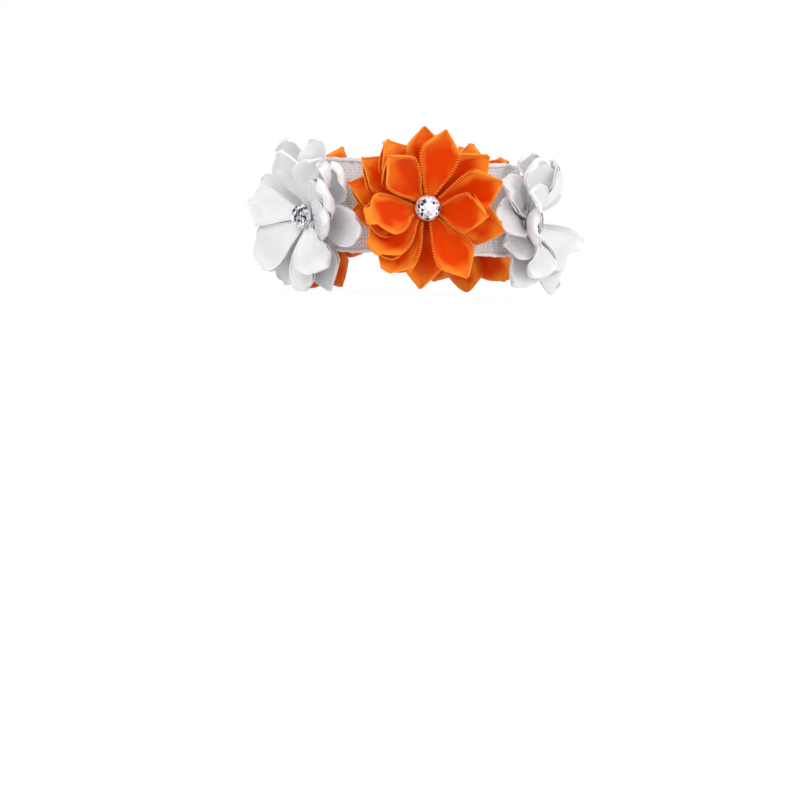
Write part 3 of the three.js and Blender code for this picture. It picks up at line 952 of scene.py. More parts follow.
    def nose_rows(self):
        """The turn over the tip, between the last row of the face and the first of the back."""
        first = self.layer_rows(np.array([1 - 1e-4, 1.0]), False)[1]
        last = self.layer_rows(np.array([1.0, 1 - 1e-4]), True)[0]
        _, ahead, _ = self.spine(np.array([1.0]))
        full = np.sqrt(1 - 0.96 * self.form["round"] * ALL_SIDES[:, None] ** 2)
        apart = np.linalg.norm(first - last, axis=1, keepdims=True) / 2
        bulge_here = np.maximum(self.form["nose"] * MM * full, apart * self.looseness())
        rows = []
        for angle in np.linspace(0, math.pi, NOSE_ROWS + 2)[1:-1]:
            part = (1 - math.cos(angle)) / 2
            bulge = bulge_here * math.sin(angle)
            rows.append(first * (1 - part) + last * part + ahead[0] * bulge)
        return np.array(rows)

    def selvedges(self, grid):
        """The two stitched edges of the face, each with its directions off and out of it."""
        rows = (FACE_ROWS > SELVEDGE_FROM) & (FACE_ROWS < SHOULDER)
        face = grid[: len(FACE_ROWS)]
        edges = []
        for column, inner in ((HEM, HEM + 1), (-1 - HEM, -2 - HEM)):
            line = face[:, column]
            out = unit(line - face[:, inner])
            normal = unit(np.cross(out, np.gradient(line, axis=0)))
            normal *= np.where(normal[:, 2:3] < 0, -1, 1)
            line = line - out * self.ribbon.stitch_inset
            edges.append((line[rows], normal[rows], out[rows]))
        return edges


class Pile:
    """The top of what already lies on a flower, as heights over its face."""

    CELL = 0.3 * MM  # of the grid of heights
    HALF = 27 * MM  # how far the grid reaches each way

    def __init__(self):
        count = int(2 * self.HALF / self.CELL) + 1
        self.top = np.full((count, count), -1.0)

    def cells(self, points):
        """The cell that each point lies over."""
        at = np.clip(((points[..., :2] + self.HALF) / self.CELL).astype(int), 0, len(self.top) - 1)
        return at[..., 0], at[..., 1]

    def heights(self, points):
        """How high the pile is under each point."""
        x, y = self.cells(points)
        return self.top[x, y]

    def add(self, grid):
        """Adds a petal's own top, with its grid filled in between its points."""
        for axis in (0, 0, 1, 1):
            at = np.arange(0, grid.shape[axis] - 0.5, 0.5)
            low, high = np.floor(at).astype(int), np.ceil(at).astype(int)
            grid = (np.take(grid, low, axis) + np.take(grid, high, axis)) / 2
        x, y = self.cells(grid)
        np.maximum.at(self.top, (x.ravel(), y.ravel()), grid[..., 2].ravel())


def neighbours(grid, axis, reach):
    """A grid's copies, shifted along an axis by up to so many places each way."""
    padded = np.pad(grid, [(reach, reach) if a == axis else (0, 0) for a in (0, 1)], "edge")
    n = grid.shape[axis]
    return [np.take(padded, range(k, k + n), axis) for k in range(2 * reach + 1)]


def lay_on(pile, grid, reach, side):
    """Raises a petal, smoothly, to where it clears what lies under it."""
    along, across = RAISE_BINS
    row = np.clip((reach * (along - 1)).round().astype(int), 0, along - 1)
    column = np.clip(((side + 1) / 2 * (across - 1)).round().astype(int), 0, across - 1)
    for _ in range(3):
        need = pile.heights(grid) + CLEARANCE - grid[..., 2]
        need = np.clip(need, 0, MOST_RAISE) * smoothstep(reach, 0.1, 0.22)
        raised = np.zeros((along, across))
        np.maximum.at(raised, (row.ravel(), column.ravel()), need.ravel())
        if raised.max() < LEAST_RAISE:
            break
        for axis in (0, 1):
            raised = np.max(neighbours(raised, axis, 2), 0)
        for axis in (0, 1, 0, 1):
            raised = sum(neighbours(raised, axis, 1)) / 3
        grid[..., 2] += raised[row, column]
    return grid


def root_heights(name, place):
    """Where the roots of the two rings lie over the lace, below and above their thread."""
    inverse = np.linalg.inv(np.array(place, float))
    thread = inverse @ np.array([*middle(name + "_gather_thread"), 1.0])
    return thread[2] - ROOT_DROP, thread[2] + ROOT_RISE


def above_floor(points):
    """Flattens what would reach below the floor, where the lowest petals rest."""
    soft, least = FLOOR_SOFTNESS, ABOVE_FLOOR
    height = points[:, 2]
    pressed = least + (soft - least) * np.exp(np.minimum(height - soft, 0) / (soft - least))
    points[:, 2] = np.where(height < soft, pressed, height)
    return points


def make_ring(name, ring, petals, place, root_height, pile, seed):
    """One ring of petals and the stitched selvedges on it."""
    ribbon = bpy.context.scene.corsage_ribbon
    white = name in WHITE_FLOWERS
    dye = "white" if white else "orange"
    points, faces, uvs, forms, edges, matte = [], [], [], [], [], []
    for index, form in enumerate(petals):
        made = RibbonPetal(form, ribbon, root_height, seed + index)
        grid, reach, side = made.rows()
        grid = lay_on(pile, grid, reach, side)
        pile.add(grid)
        edges += made.selvedges(grid)
        rows, columns = grid.shape[:2]
        faces += grid_faces(rows, columns, first=index * rows * columns)
        points.append(grid)
        across = lengths(grid, 1)
        uvs.append(np.stack([across - across[:, columns // 2, None], lengths(grid, 0)], -1))
        forms.append(np.stack([reach, side], -1))
        matte.append(np.full(rows * columns, made.form["matte"]))
    cloth = mesh_object(
        f"{name}_{ring}_ribbon",
        above_floor(placed(np.concatenate(points).reshape(-1, 3), place)),
        faces,
        np.concatenate(uvs).reshape(-1, 2),
        np.concatenate(forms).reshape(-1, 2),
        matte=np.concatenate(matte),
    )
    thicken(cloth, ribbon.thickness)
    size = ribbon.white_stitch if white else 1.0
    stitches = make_stitches(
        f"{name}_{ring}_selvedge",
        edges,
        place,
        dye + "_thread",
        ribbon.stitch_pitch,
        ribbon.stitch_radius * size,
        ribbon.thread_radius * size,
    )
    body, slot = name + "_flower", "satin_" + dye
    finish_piece(cloth, body, slot, dye + "_satin", f"{name}_{ring}_petals")
    finish_piece(stitches, body, slot, dye + "_thread")
    area = sum(p.area for p in cloth.data.polygons) / 2
    2 * ribbon.half_width
    area / (2 * ribbon.half_width)
    name + "_felt_disc"


def make_flower(name, place):
    """A flower's two rings of petals, the upper one laid on the lower."""
    pile = Pile()
    seed = 100 * FLOWERS.index(name)
    for ring, petals, root in zip(("lower", "upper"), RINGS[name], root_heights(name, place)):
        make_ring(name, ring, petals, place, root, pile, seed)
        seed += 50


# Stitches

STITCH_SLANT = math.radians(12)
LOOP_START = math.radians(-25)
LOOP_SWEEP = math.radians(230)


@functools.cache
def stitch_tree():
    """Nodes that set a loop of thread across an edge at every step along it."""
    tree = bpy.data.node_groups.new("Stitches along edges", "GeometryNodeTree")
    t = Nodes(tree)
    named = {}
    for label, kind, default in (
        ("Edges", "Geometry", None),
        ("Pitch", "Float", 0.6 * MM),
        ("Loop radius", "Float", 0.2 * MM),
        ("Thread radius", "Float", 0.06 * MM),
        ("Slant", "Float", STITCH_SLANT),
        ("Thread", "Material", None),
    ):
        made = tree.interface.new_socket(label, in_out="INPUT", socket_type="NodeSocket" + kind)
        named[label] = made.identifier
        if default is not None:
            made.default_value = default
    tree.interface.new_socket("Stitches", in_out="OUTPUT", socket_type="NodeSocketGeometry")

    given = t.node("NodeGroupInput")
    curve = t.node("GeometryNodeMeshToCurve", {"Mesh": given.output("Edges")})
    steps = t.node(
        "GeometryNodeResampleCurve",
        {"Curve": curve, "Length": given.output("Pitch")},
        mode="LENGTH",
    )
    loop = t.node(
        "GeometryNodeCurveArc",
        {
            "Resolution": 7,
            "Radius": given.output("Loop radius"),
            "Start Angle": LOOP_START,
            "Sweep Angle": LOOP_SWEEP,
        },
        mode="RADIUS",
    )
    section = t.node(
        "GeometryNodeCurvePrimitiveCircle",
        {"Resolution": 5, "Radius": given.output("Thread radius")},
    )
    strand = t.node(
        "GeometryNodeCurveToMesh", {"Curve": loop, "Profile Curve": section, "Fill Caps": True}
    )
    quarter = (math.radians(90), 0, 0)
    upright = t.node("GeometryNodeTransform", {"Geometry": strand, "Rotation": quarter})
    spin = t.node("ShaderNodeCombineXYZ", {"Z": given.output("Slant")})
    slanted = t.node("GeometryNodeTransform", {"Geometry": upright, "Rotation": spin})
    off, out = (
        t.node("GeometryNodeInputNamedAttribute", {"Name": label}, data_type="FLOAT_VECTOR")
        for label in ("off", "out")
    )
    turn = t.node(
        "FunctionNodeAxesToRotation",
        {"Primary Axis": off, "Secondary Axis": out},
        primary_axis="Z",
        secondary_axis="X",
    )
    sewn = t.node(
        "GeometryNodeInstanceOnPoints", {"Points": steps, "Instance": slanted, "Rotation": turn}
    )
    real = t.node("GeometryNodeRealizeInstances", {"Geometry": sewn})
    shaded = t.node("GeometryNodeSetShadeSmooth", {"Geometry": real})
    coloured = t.node(
        "GeometryNodeSetMaterial", {"Geometry": shaded, "Material": given.output("Thread")}
    )
    t.node("NodeGroupOutput", {"Stitches": coloured})
    return tree, named


def make_stitches(name, edges, place, look, pitch, loop, gauge):
    """Loops of thread across each edge, given as its points and its directions off and out."""
    tree, named = stitch_tree()
    turned = np.array(place, float)[:3, :3].T
    points, offs, outs, lines = [], [], [], []
    for line, off, out in edges:
        first = sum(len(p) for p in points)
        lines += [(first + i, first + i + 1) for i in range(len(line) - 1)]
        points.append(above_floor(placed(line, place)))
        offs.append(off @ turned)
        outs.append(out @ turned)
    points, offs, outs = (np.concatenate(parts) for parts in (points, offs, outs))
    sewn = mesh_object(name, points, [], lines=lines, off=offs, out=outs)
    nodes = sewn.modifiers.new("Stitches", "NODES")
    nodes.node_group = tree
    nodes[named["Pitch"]] = pitch
    nodes[named["Loop radius"]] = loop
    nodes[named["Thread radius"]] = gauge
    nodes[named["Thread"]] = material(look)
    bake(sewn)
    for label in ("off", "out"):
        if label in sewn.data.attributes:
            sewn.data.attributes.remove(sewn.data.attributes[label])
    return sewn


# Felt discs and gathering threads

FELT_SOFTNESS = 0.25 * MM
FELT_WAVE = 0.05 * MM
FELT_PITCHES = (1.1 * MM, 0.9 * MM)
FELT_INNER = 0.6  # of its faces' innermost ring, against its radius
FELT_SIDES = 64
STRANDS = 3
STRAND_TWISTS = 12
STRAND_FULLNESS = 0.9  # of a strand, against its distance from the thread's middle
STRAND_STEPS = 96
STRAND_SIDES = 8


def circle(turns, radius, height):
    """Points at these angles round a flower's axis."""
    return np.stack([radius * np.cos(turns), radius * np.sin(turns), turns * 0 + height], 1)


def lathe(name, outline, place, segments=48, ripple=None):
    """A shape turned round a flower's axis, from its outline as radii and heights."""
    turns = np.linspace(0, 2 * math.pi, segments, endpoint=False)
    grid = np.array([circle(turns, radius, height) for radius, height in outline])
    if ripple is not None:
        grid[..., 2] += ripple(grid)
    inner = len(outline) * segments
    points = np.concatenate([grid.reshape(-1, 3), [[0, 0, outline[0][1]], [0, 0, outline[-1][1]]]])
    faces = grid_faces(len(outline), segments, closed=True)
    last = (len(outline) - 1) * segments
    for j in range(segments):
        k = (j + 1) % segments
        faces.append((inner, k, j))
        faces.append((inner + 1, last + j, last + k))
    return face_outward(mesh_object(name, placed(points, place), faces))


def span_out(node, place):
    """How far out of the lace a turned node starts and ends, and its radius."""
    low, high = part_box(node)
    inverse = np.linalg.inv(np.array(place, float))
    points = np.array([[*v.co, 1.0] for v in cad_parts[node].data.vertices]) @ inverse.T
    return points[:, 2].min(), points[:, 2].max(), (high.z - low.z) / 2


def make_felt(name, place):
    """A disc cut from felt, with its edge a little rounded and its face uneven."""
    back, front, radius = span_out(name + "_felt_disc", place)
    soft = FELT_SOFTNESS
    outline = [(FELT_INNER * radius, back), (radius - soft, back), (radius, back + soft)]
    outline += [(radius, front - soft), (radius - soft, front), (FELT_INNER * radius, front)]

    def uneven(grid):
        across, up = (np.sin(grid[..., k] / FELT_PITCHES[k]) for k in (0, 1))
        return FELT_WAVE * across * up

    disc = lathe(name + "_felt", outline, place, FELT_SIDES, uneven)
    finish_piece(disc, name + "_flower", "felt_white", "felt", name + "_felt_disc")


def make_gather_thread(name, place):
    """Three strands of thread wound round the petals' roots."""
    back, front, radius = span_out(name + "_gather_thread", place)
    strand = (front - back) / 4
    loop = radius - (front - back) / 2
    turns = np.linspace(0, 2 * math.pi, STRAND_STEPS, endpoint=False)
    points, faces = [], []
    for index in range(STRANDS):
        twist = STRAND_TWISTS * turns + index * 2 * math.pi / STRANDS
        height = (front + back) / 2 + strand * np.sin(twist)
        line = circle(turns, loop + strand * np.cos(twist), height)
        gauge = strand * STRAND_FULLNESS
        ring, ring_faces = tube(line, gauge, STRAND_SIDES, looped=True, first=len(points))
        points += list(ring)
        faces += ring_faces
    wound = mesh_object(name + "_gathering", placed(np.array(points), place), faces)
    face_outward(wound)
    node = name + "_gather_thread"
    finish_piece(wound, name + "_flower", "thread_white", "white_thread", node)


def tube(line, radius, sides, looped=False, first=0):
    """A round tube along a line, as thick as its radius there, with ends unless it is looped."""
    if looped:
        ahead = unit(np.roll(line, -1, 0) - np.roll(line, 1, 0))
    else:
        ahead = unit(np.gradient(line, axis=0))
    normal = np.cross(ahead[0], [0.13, 0.21, 0.97])
    normals = []
    for direction in ahead:
        normal = normal - direction * normal.dot(direction)
        normal /= np.linalg.norm(normal)
        normals.append(normal)
    normals = np.array(normals)
    if looped:
        start, end = normals[0], normals[-1]
        off = math.atan2(np.cross(end, start).dot(ahead[-1]), end.dot(start))
        angle = (np.linspace(0, 1, len(line), endpoint=False) * off)[:, None]
        normals = normals * np.cos(angle) + np.cross(ahead, normals) * np.sin(angle)
    second = np.cross(ahead, normals)
    angles = np.linspace(0, 2 * math.pi, sides, endpoint=False)
    radius = np.reshape(radius, (-1, 1, 1))
    rings = (
        line[:, None]
        + radius * np.cos(angles)[None, :, None] * normals[:, None]
        + radius * np.sin(angles)[None, :, None] * second[:, None]
    )
    faces = grid_faces(len(line), sides, closed=True, looped=looped, first=first)
    if not looped:
        faces.append(tuple(first + j for j in range(sides))[::-1])
        faces.append(tuple(first + (len(line) - 1) * sides + j for j in range(sides)))
    return rings.reshape(-1, 3), faces


# Stones, with widths as shares of the stone's

INNER_STAR = 0.45
CROWN_RISE = 0.55
FOOT = 0.62
CUP_BASE = 0.68
CUP_SEAT = 0.66
CUP_MIDDLE = 0.2


def make_stone(name, place):
    """A brilliant-cut stone: table, star, kite and girdle facets over a tapered back."""
    settings = bpy.context.scene.corsage_stone
    back, front, radius = span_out(name + "_stone", place)
    count = settings.facets
    front -= settings.sunk
    girdle = back + settings.pavilion
    edge = girdle + settings.girdle

    def ring(many, share_of_radius, height, shift=0.0):
        turns = (np.arange(many) + shift) * 2 * math.pi / many + settings.turn
        return circle(turns, radius * share_of_radius, height)

    points = np.concatenate(
        [
            [[0, 0, front]],
            ring(count, INNER_STAR * settings.table, front, 0.5),
            ring(count, settings.table, front),
            ring(count, settings.crown, edge + CROWN_RISE * (front - edge), 0.5),
            ring(2 * count, 1.0, edge),
            ring(2 * count, 1.0, girdle),
            ring(2 * count, FOOT, back),
        ]
    )
    inner, table, mid = 1, 1 + count, 1 + 2 * count
    top, low, foot = 1 + 3 * count, 1 + 5 * count, 1 + 7 * count
    faces = []
    for k in range(count):
        n, before = (k + 1) % count, (k - 1) % count
        a, b, c = top + 2 * k, top + 2 * k + 1, top + (2 * k + 2) % (2 * count)
        faces += [
            (0, inner + k, inner + n),
            (inner + k, table + n, inner + n),
            (inner + k, table + k, table + n),
            (table + n, table + k, mid + k),
            (table + k, mid + before, a, mid + k),
            (mid + k, a, b),
            (mid + k, b, c),
        ]
    for j in range(2 * count):
        k = (j + 1) % (2 * count)
        faces.append((top + j, low + j, low + k, top + k))
        faces.append((low + j, foot + j, foot + k, low + k))
    faces.append(tuple(foot + j for j in range(2 * count))[::-1])
    stone = mesh_object(name + "_crystal", placed(points, place), faces, smooth=False)
    # Each facet's random value, with its stone's share of painted dark reflection, for the
    # crystal's painted reflections
    glints = stone.data.uv_layers.new(name="Form")
    order = np.random.default_rng(FLOWERS.index(name) + 3)
    for polygon in stone.data.polygons:
        value = order.uniform(0, 1)
        for corner in polygon.loop_indices:
            glints.data[corner].uv = (DARK_REFLECTION_SHARES[name], value)
    face_outward(stone)
    finish_piece(stone, name + "_flower", "crystal", "crystal", name + "_stone")


def make_cup(name, place):
    """The pressed foil cup that holds the stone by its back, with a rolled rim."""
    settings = bpy.context.scene.corsage_stone
    back, _, _ = span_out(name + "_stone_cup", place)
    seat, _, radius = span_out(name + "_stone", place)
    front = seat + settings.pavilion
    wall = settings.foil_thickness
    rim = radius + settings.rim
    outline = [
        (CUP_MIDDLE * radius, back),
        (CUP_BASE * radius, back),
        (rim - wall / 3, front - 2 * wall),
        (rim, front - wall / 2),
        (rim - wall / 3, front),
        (rim - wall, front - wall / 4),
        (CUP_SEAT * radius, seat - wall / 4),
        (CUP_MIDDLE * radius, seat - wall / 4),
    ]
    cup = lathe(name + "_foil_cup", outline, place)
    finish_piece(cup, name + "_flower", "foil_silver", "foil", name + "_stone_cup")


# Lace

SEAM_FROM_TIP = 2.2 * MM
SEAM_FROM_EDGE = 1.8 * MM
SEAM_RAISE = 0.25 * MM
SEAM_WIDTH = 1.4 * MM
SEAM_PITCH = 1.3 * MM
SEAM_LOOP = 0.62 * MM
SEAM_GAUGE = 0.13 * MM
SEAM_POINTS = 24
NET_STEP = 0.45 * MM
NET_ROWS = 25
NET_FADE = 1.5 * MM
NET_RIPPLE = 0.42 * MM  # of the fine ripples along the lace
NET_SWELL = 2.1 * MM  # of their rise and fall
NET_WAVES = (2.6 * MM, 3.3 * MM)  # of the slow waves up the lace and along it
NET_SHIFT = 0.037  # from one stretch's pattern to the next's
CORD_STEP = 0.35 * MM
CORD_SIDES = 10
CORD_FADE = 1.2 * MM
CORD_SAG = 0.12 * MM
CORD_SWAY = 0.1 * MM
CORD_WAVES = (1.7 * MM, 1.2 * MM, 0.6 * MM)  # of its sag, its sway and its girth
LINKS = (
    ("band_link_front_left", "left", "front"),
    ("band_link_front_right", "front", "right"),
    ("band_link_back_left", "back_left", "left"),
    ("band_link_back_right", "right", "back_right"),
)


class BandPath:
    """The line that a piece of the lace follows."""

    def __init__(self, points):
        self.points = np.array(points, float)
        steps = np.linalg.norm(np.diff(self.points, axis=0), axis=1)
        self.at = np.concatenate([[0], np.cumsum(steps)])
        self.length = self.at[-1]

    def sample(self, count):
        """How far along each of its points is, the points, and the way out of the lace there."""
        where = np.linspace(0, self.length, count)
        line = np.stack([np.interp(where, self.at, self.points[:, k]) for k in range(3)], 1)
        along = unit(np.gradient(line, axis=0))
        return where, line, np.stack([along[:, 1], -along[:, 0], 0 * along[:, 2]], 1)

    def fade(self, where, margin):
        """0 at the two ends and 1 between them."""
        return smoothstep(where, 0, margin) * smoothstep(self.length - where, 0, margin)


def bezier(a, b, c, d, count=40):
    """Points of a curve from a to d, led by b and c."""
    t = np.linspace(0, 1, count)[:, None]
    return (
        (1 - t) ** 3 * np.array(a)
        + 3 * (1 - t) ** 2 * t * np.array(b)
        + 3 * (1 - t) * t**2 * np.array(c)
        + t**3 * np.array(d)
    )


def band_place(name):
    """The middle of the lace behind a flower, and the way round the loop there."""
    return middle(name + "_band_panel"), place_of(name).col[0].to_3d()


def link_points(start_name, end_name):
    """The arc of lace between two flowers' panels."""
    band = bpy.context.scene.corsage_band
    (m1, r1), (m2, r2) = band_place(start_name), band_place(end_name)
    start, end = m1 + r1 * band.panel / 2, m2 - r2 * band.panel / 2
    angle = r1.angle(r2)
    reach = (2 / 3) * (end - start).length * math.tan(angle / 4) / math.sin(angle / 2)
    return bezier(start, start + r1 * reach, end - r2 * reach, end)


def lap_paths():
    """The outer end from the right, the inner one from the left, and their ways along and out."""
    band = bpy.context.scene.corsage_band
    (m1, r1), (m2, r2) = band_place("back_right"), band_place("back_left")
    along = (m2 - m1).normalized()
    inward = Vector((-along.y, along.x, 0))
    link = BandPath(link_points("back_right", "back_left"))
    centre = Vector(link.sample(101)[1][50])

    def on_lap(side, depth):
        return centre + along * side * band.lap / 2 + inward * depth

    def lead(start, facing, first, last):
        reach = (first - start).length * band.bend
        way = (last - first).normalized()
        curve = bezier(start, start + facing * reach, first - way * reach, first)
        return BandPath(np.concatenate([curve, [np.array(last)]]))

    outer = lead(m1 + r1 * band.panel / 2, r1, on_lap(-1, 0), on_lap(1, 0))
    step = band.lap_step
    inner = lead(m2 - r2 * band.panel / 2, -r2, on_lap(1, step), on_lap(-1, step))
    return outer, inner, along, -inward


def lace_sheet(name, path, seed, depth, flip=False):
    """A stretch of the lace along a path: a thin net, gathered into slight ripples."""
    band = bpy.context.scene.corsage_band
    where, line, out = path.sample(max(8, int(path.length / NET_STEP)))
    if flip:
        out = -out
    phases = np.random.default_rng(seed).uniform(0, 2 * math.pi, 3)
    height = (np.linspace(-1, 1, NET_ROWS) * (band.height / 2 - band.cord / 2))[:, None]
    ripple = np.sin(where / NET_RIPPLE + 1.5 * height / MM / 4 + phases[0])
    ripple *= 0.55 + 0.45 * np.sin(where / NET_SWELL + phases[1])
    ripple += 0.8 * np.sin(height / NET_WAVES[0] + where / NET_WAVES[1] + phases[2])
    flat = 1 - (abs(height) / (band.height / 2)) ** 6
    grid = line + out * (depth * ripple * path.fade(where, NET_FADE) * flat)[..., None]
    grid[..., 2] += height
    faces = grid_faces(*ripple.shape)
    if flip:
        faces = [f[::-1] for f in faces]
    uvs = np.stack(np.meshgrid(where + seed * NET_SHIFT, height), -1)
    sheet = mesh_object(name, grid.reshape(-1, 3), faces, uvs.reshape(-1, 2))
    return thicken(sheet, band.sheer)


def lace_cords(name, path, seed):
    """The corded edges of a stretch of lace: two soft cords that wander slightly."""
    band = bpy.context.scene.corsage_band
    where, line, out = path.sample(max(10, int(path.length / CORD_STEP)))
    order = np.random.default_rng(seed)
    fade = path.fade(where, CORD_FADE)
    turns = np.arange(CORD_SIDES) / CORD_SIDES * math.pi * band.cord
    points, faces, uvs = [], [], []
    for end in (-1, 1):
        phases = order.uniform(0, 2 * math.pi, 3)
        drop = CORD_SAG * np.sin(where / CORD_WAVES[0] + phases[0]) * fade
        push = CORD_SWAY * np.sin(where / CORD_WAVES[1] + phases[1]) * fade
        row = line + out * push[:, None]
        row[:, 2] += end * (band.height / 2 - band.cord / 2) + drop
        swell = band.cord / 2 * (0.86 + 0.1 * np.sin(where / CORD_WAVES[2] + phases[2]))
        ring, ring_faces = tube(row, swell, CORD_SIDES, first=len(points))
        points += list(ring)
        faces += ring_faces
        uvs.append(np.stack(np.meshgrid(turns, where), -1))
    uvs = np.concatenate(uvs).reshape(-1, 2)
    return face_outward(mesh_object(name, points, faces, uvs))


def make_band_piece(node, path, seed, body=None, bodies=None, flip=False):
    """A stretch of lace with its corded edges, hung on one body, or curving between two and hung
    on neither.
    """
    band = bpy.context.scene.corsage_band
    depth = band.gathers if bodies else band.ripple
    sheet = lace_sheet(node + "_net", path, seed, depth, flip)
    cords = lace_cords(node + "_cords", path, seed + 50)
    paint(sheet, "net_lace")
    paint(cords, "corded_edge")
    for piece in (sheet, cords):
        if bodies:
            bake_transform(piece)
        else:
            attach(piece, body)
    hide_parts(node)


def make_lace():
    """The panels behind the flowers, the links between them and the two ends."""
    half = bpy.context.scene.corsage_band.panel / 2
    for number, name in enumerate(FLOWERS):
        centre, across = band_place(name)
        path = BandPath([centre - across * half, centre + across * half])
        make_band_piece(name + "_band_panel", path, number, name + "_flower")
    for number, (node, start, end) in enumerate(LINKS, 10):
        line = link_points(start, end)
        bodies = (start + "_flower", end + "_flower")
        make_band_piece(node, BandPath(line), number, bodies=bodies)
    outer, inner = lap_paths()[:2]
    make_band_piece("band_end_outer", outer, 20, "back_right_flower")
    make_band_piece("band_end_inner", inner, 21, "back_left_flower", flip=True)


def sew_lap():
    """The whip stitches that hold down the tip of the lace's outer end."""
    band = bpy.context.scene.corsage_band
    outer, _, along, out = lap_paths()
    along, out = np.array(along), np.array(out)
    seam = outer.points[-1] - along * SEAM_FROM_TIP + out * SEAM_RAISE
    heights = np.linspace(-1, 1, SEAM_POINTS) * (band.height / 2 - SEAM_FROM_EDGE)
    edges = []
    for column in (-0.5, 0.5):
        line = seam + along * column * SEAM_WIDTH + heights[:, None] * np.array(UP)
        edges.append((line, out + 0 * line, along + 0 * line))
    sewn = make_stitches(
        "lap_whip_stitches",
        edges,
        Matrix.Identity(4),
        "white_thread",
        SEAM_PITCH,
        SEAM_LOOP,
        SEAM_GAUGE,
    )
    finish_piece(sewn, "back_right_flower", "thread_white", "white_thread", "lap_stitches")


# Stage

WORLD_STRENGTH = 0.74
LAMPS = (  # name, place, diameter, watts
    ("key", (-0.45, -0.9, 0.8), 0.6, 4.5),
    ("fill", (0.95, -0.6, 0.5), 0.7, 4.0),
    ("back", (0.1, 0.9, 0.8), 0.9, 2.6),
)
VIEW_PIXELS = 800
STONE_IN_VIEW = (428, 208)  # the front stone's middle, in pixels right and down
SENSOR = 36


def set_floor():
    """A plain floor under the corsage."""
    half = bpy.context.scene.corsage_stage.floor
    corners = [(-half, -half, 0), (half, -half, 0), (half, half, 0), (-half, half, 0)]
    ground = mesh_object("floor", corners, [(0, 1, 2, 3)], smooth=False)
    paint(ground, "floor_white")


def set_world():
    """White to the eye, and dimmer as the room's light."""
    world = bpy.context.scene.world = bpy.data.worlds.new("Room")
    world.use_nodes = True
    n = Nodes(world.node_tree)
    dim, white = (
        n.node("ShaderNodeBackground", {"Color": tint(WHITE), "Strength": strength})
        for strength in (WORLD_STRENGTH, 1.0)
    )
    mixed = n.node("ShaderNodeMixShader", {0: n.seen(), 1: dim, 2: white})
    n.node("ShaderNodeOutputWorld", {"Surface": mixed})


def set_lamps():
    """Soft lamps that face the front stone."""
    target = middle("front_stone")
    for name, spot, size, power in LAMPS:
        lamp = bpy.data.lights.new(name, "AREA")
        lamp.shape = "DISK"
        lamp.size = size
        lamp.energy = power
        made = bpy.data.objects.new(name, lamp)
        made.location = spot
        made.rotation_euler = (target - Vector(spot)).to_track_quat("-Z", "Y").to_euler()
        bpy.context.scene.collection.objects.link(made)


def set_camera():
    """Level with the front flower, which the photograph shows right of and above its middle."""
    scene = bpy.context.scene
    stage = scene.corsage_stage
    stone = middle("front_stone")
    lens = bpy.data.cameras.new("camera")
    lens.sensor_width = SENSOR
    lens.lens = SENSOR * stage.distance / (VIEW_PIXELS * stage.pixel)
    lens.shift_x = 0.5 - STONE_IN_VIEW[0] / VIEW_PIXELS
    lens.shift_y = STONE_IN_VIEW[1] / VIEW_PIXELS - 0.5
    eye = bpy.data.objects.new("camera", lens)
    eye.location = (stone.x, -stage.distance, stone.z)
    eye.rotation_euler = (math.radians(90), -math.radians(stage.roll), 0)
    scene.collection.objects.link(eye)
    scene.camera = eye


# Operators

def each_flower(*makes):
    """Makes these pieces of every flower."""
    for name in FLOWERS:
        place = place_of(name)
        for make in makes:
            make(name, place)


class CORSAGE_OT_flowers(bpy.types.Operator):
    """Folds the ribbon petals of every flower and sews their selvedges"""

    bl_idname = "corsage.flowers"
    bl_label = "Ribbon flowers"

    def execute(self, context):
        each_flower(make_flower)
        return {"FINISHED"}


class CORSAGE_OT_felts(bpy.types.Operator):
    """Makes the felt discs and the threads that gather the petals' roots"""

    bl_idname = "corsage.felts"
    bl_label = "Felt discs and gathering threads"

    def execute(self, context):
        each_flower(make_felt, make_gather_thread)
        return {"FINISHED"}


class CORSAGE_OT_stones(bpy.types.Operator):
    """Cuts the stones and presses their cups"""

    bl_idname = "corsage.stones"
    bl_label = "Stones and cups"

    def execute(self, context):
        each_flower(make_stone, make_cup)
        return {"FINISHED"}


class CORSAGE_OT_lace(bpy.types.Operator):
    """Makes the loop of stretch lace, from its panels, links and lapped ends"""

    bl_idname = "corsage.lace"
    bl_label = "Stretch lace"

    def execute(self, context):
        make_lace()
        return {"FINISHED"}


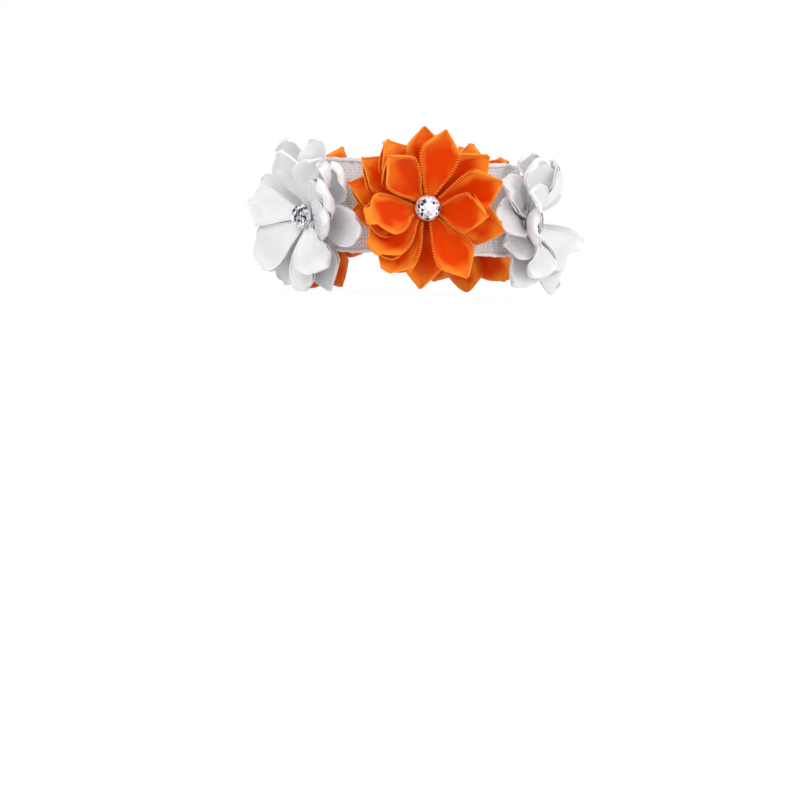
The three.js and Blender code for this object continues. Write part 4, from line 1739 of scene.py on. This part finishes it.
class CORSAGE_OT_lap_stitches(bpy.types.Operator):
    """Sews down the tip of the lace's outer end"""

    bl_idname = "corsage.lap_stitches"
    bl_label = "Lap stitches"

    def execute(self, context):
        sew_lap()
        return {"FINISHED"}


class CORSAGE_OT_stage(bpy.types.Operator):
    """Sets the floor, the lamps, the world and the camera"""

    bl_idname = "corsage.stage"
    bl_label = "Stage"

    def execute(self, context):
        set_floor()
        set_world()
        set_lamps()
        set_camera()
        context.scene.view_settings.view_transform = "Standard"
        return {"FINISHED"}


class CORSAGE_PT_panel(bpy.types.Panel):
    """Lists the corsage's pieces and sizes"""

    bl_idname = "CORSAGE_PT_panel"
    bl_label = "Wrist corsage"
    bl_space_type = "VIEW_3D"
    bl_region_type = "UI"
    bl_category = "Corsage"

    def draw(self, context):
        for kind in OPERATORS:
            self.layout.operator(kind.bl_idname)
        for label in SETTINGS:
            group = getattr(context.scene, label)
            box = self.layout.box()
            for key in type(group).__annotations__:
                box.prop(group, key)


OPERATORS = (
    CORSAGE_OT_stage,
    CORSAGE_OT_flowers,
    CORSAGE_OT_felts,
    CORSAGE_OT_stones,
    CORSAGE_OT_lace,
    CORSAGE_OT_lap_stitches,
)
SETTINGS = {
    "corsage_ribbon": RibbonSettings,
    "corsage_band": BandSettings,
    "corsage_stone": StoneSettings,
    "corsage_stage": StageSettings,
}


def register():
    for kind in (*SETTINGS.values(), *OPERATORS, CORSAGE_PT_panel):
        bpy.utils.register_class(kind)
    for label, kind in SETTINGS.items():
        setattr(bpy.types.Scene, label, PointerProperty(type=kind))


def unregister():
    for label in SETTINGS:
        delattr(bpy.types.Scene, label)
    for kind in (CORSAGE_PT_panel, *OPERATORS[::-1], *reversed(SETTINGS.values())):
        bpy.utils.unregister_class(kind)


def main():
    """Makes the corsage."""
    register()
    bpy.ops.corsage.stage()
    bpy.ops.corsage.flowers()
    bpy.ops.corsage.felts()
    bpy.ops.corsage.stones()
    bpy.ops.corsage.lace()
    bpy.ops.corsage.lap_stitches()


if __name__ == "__main__":
    main()
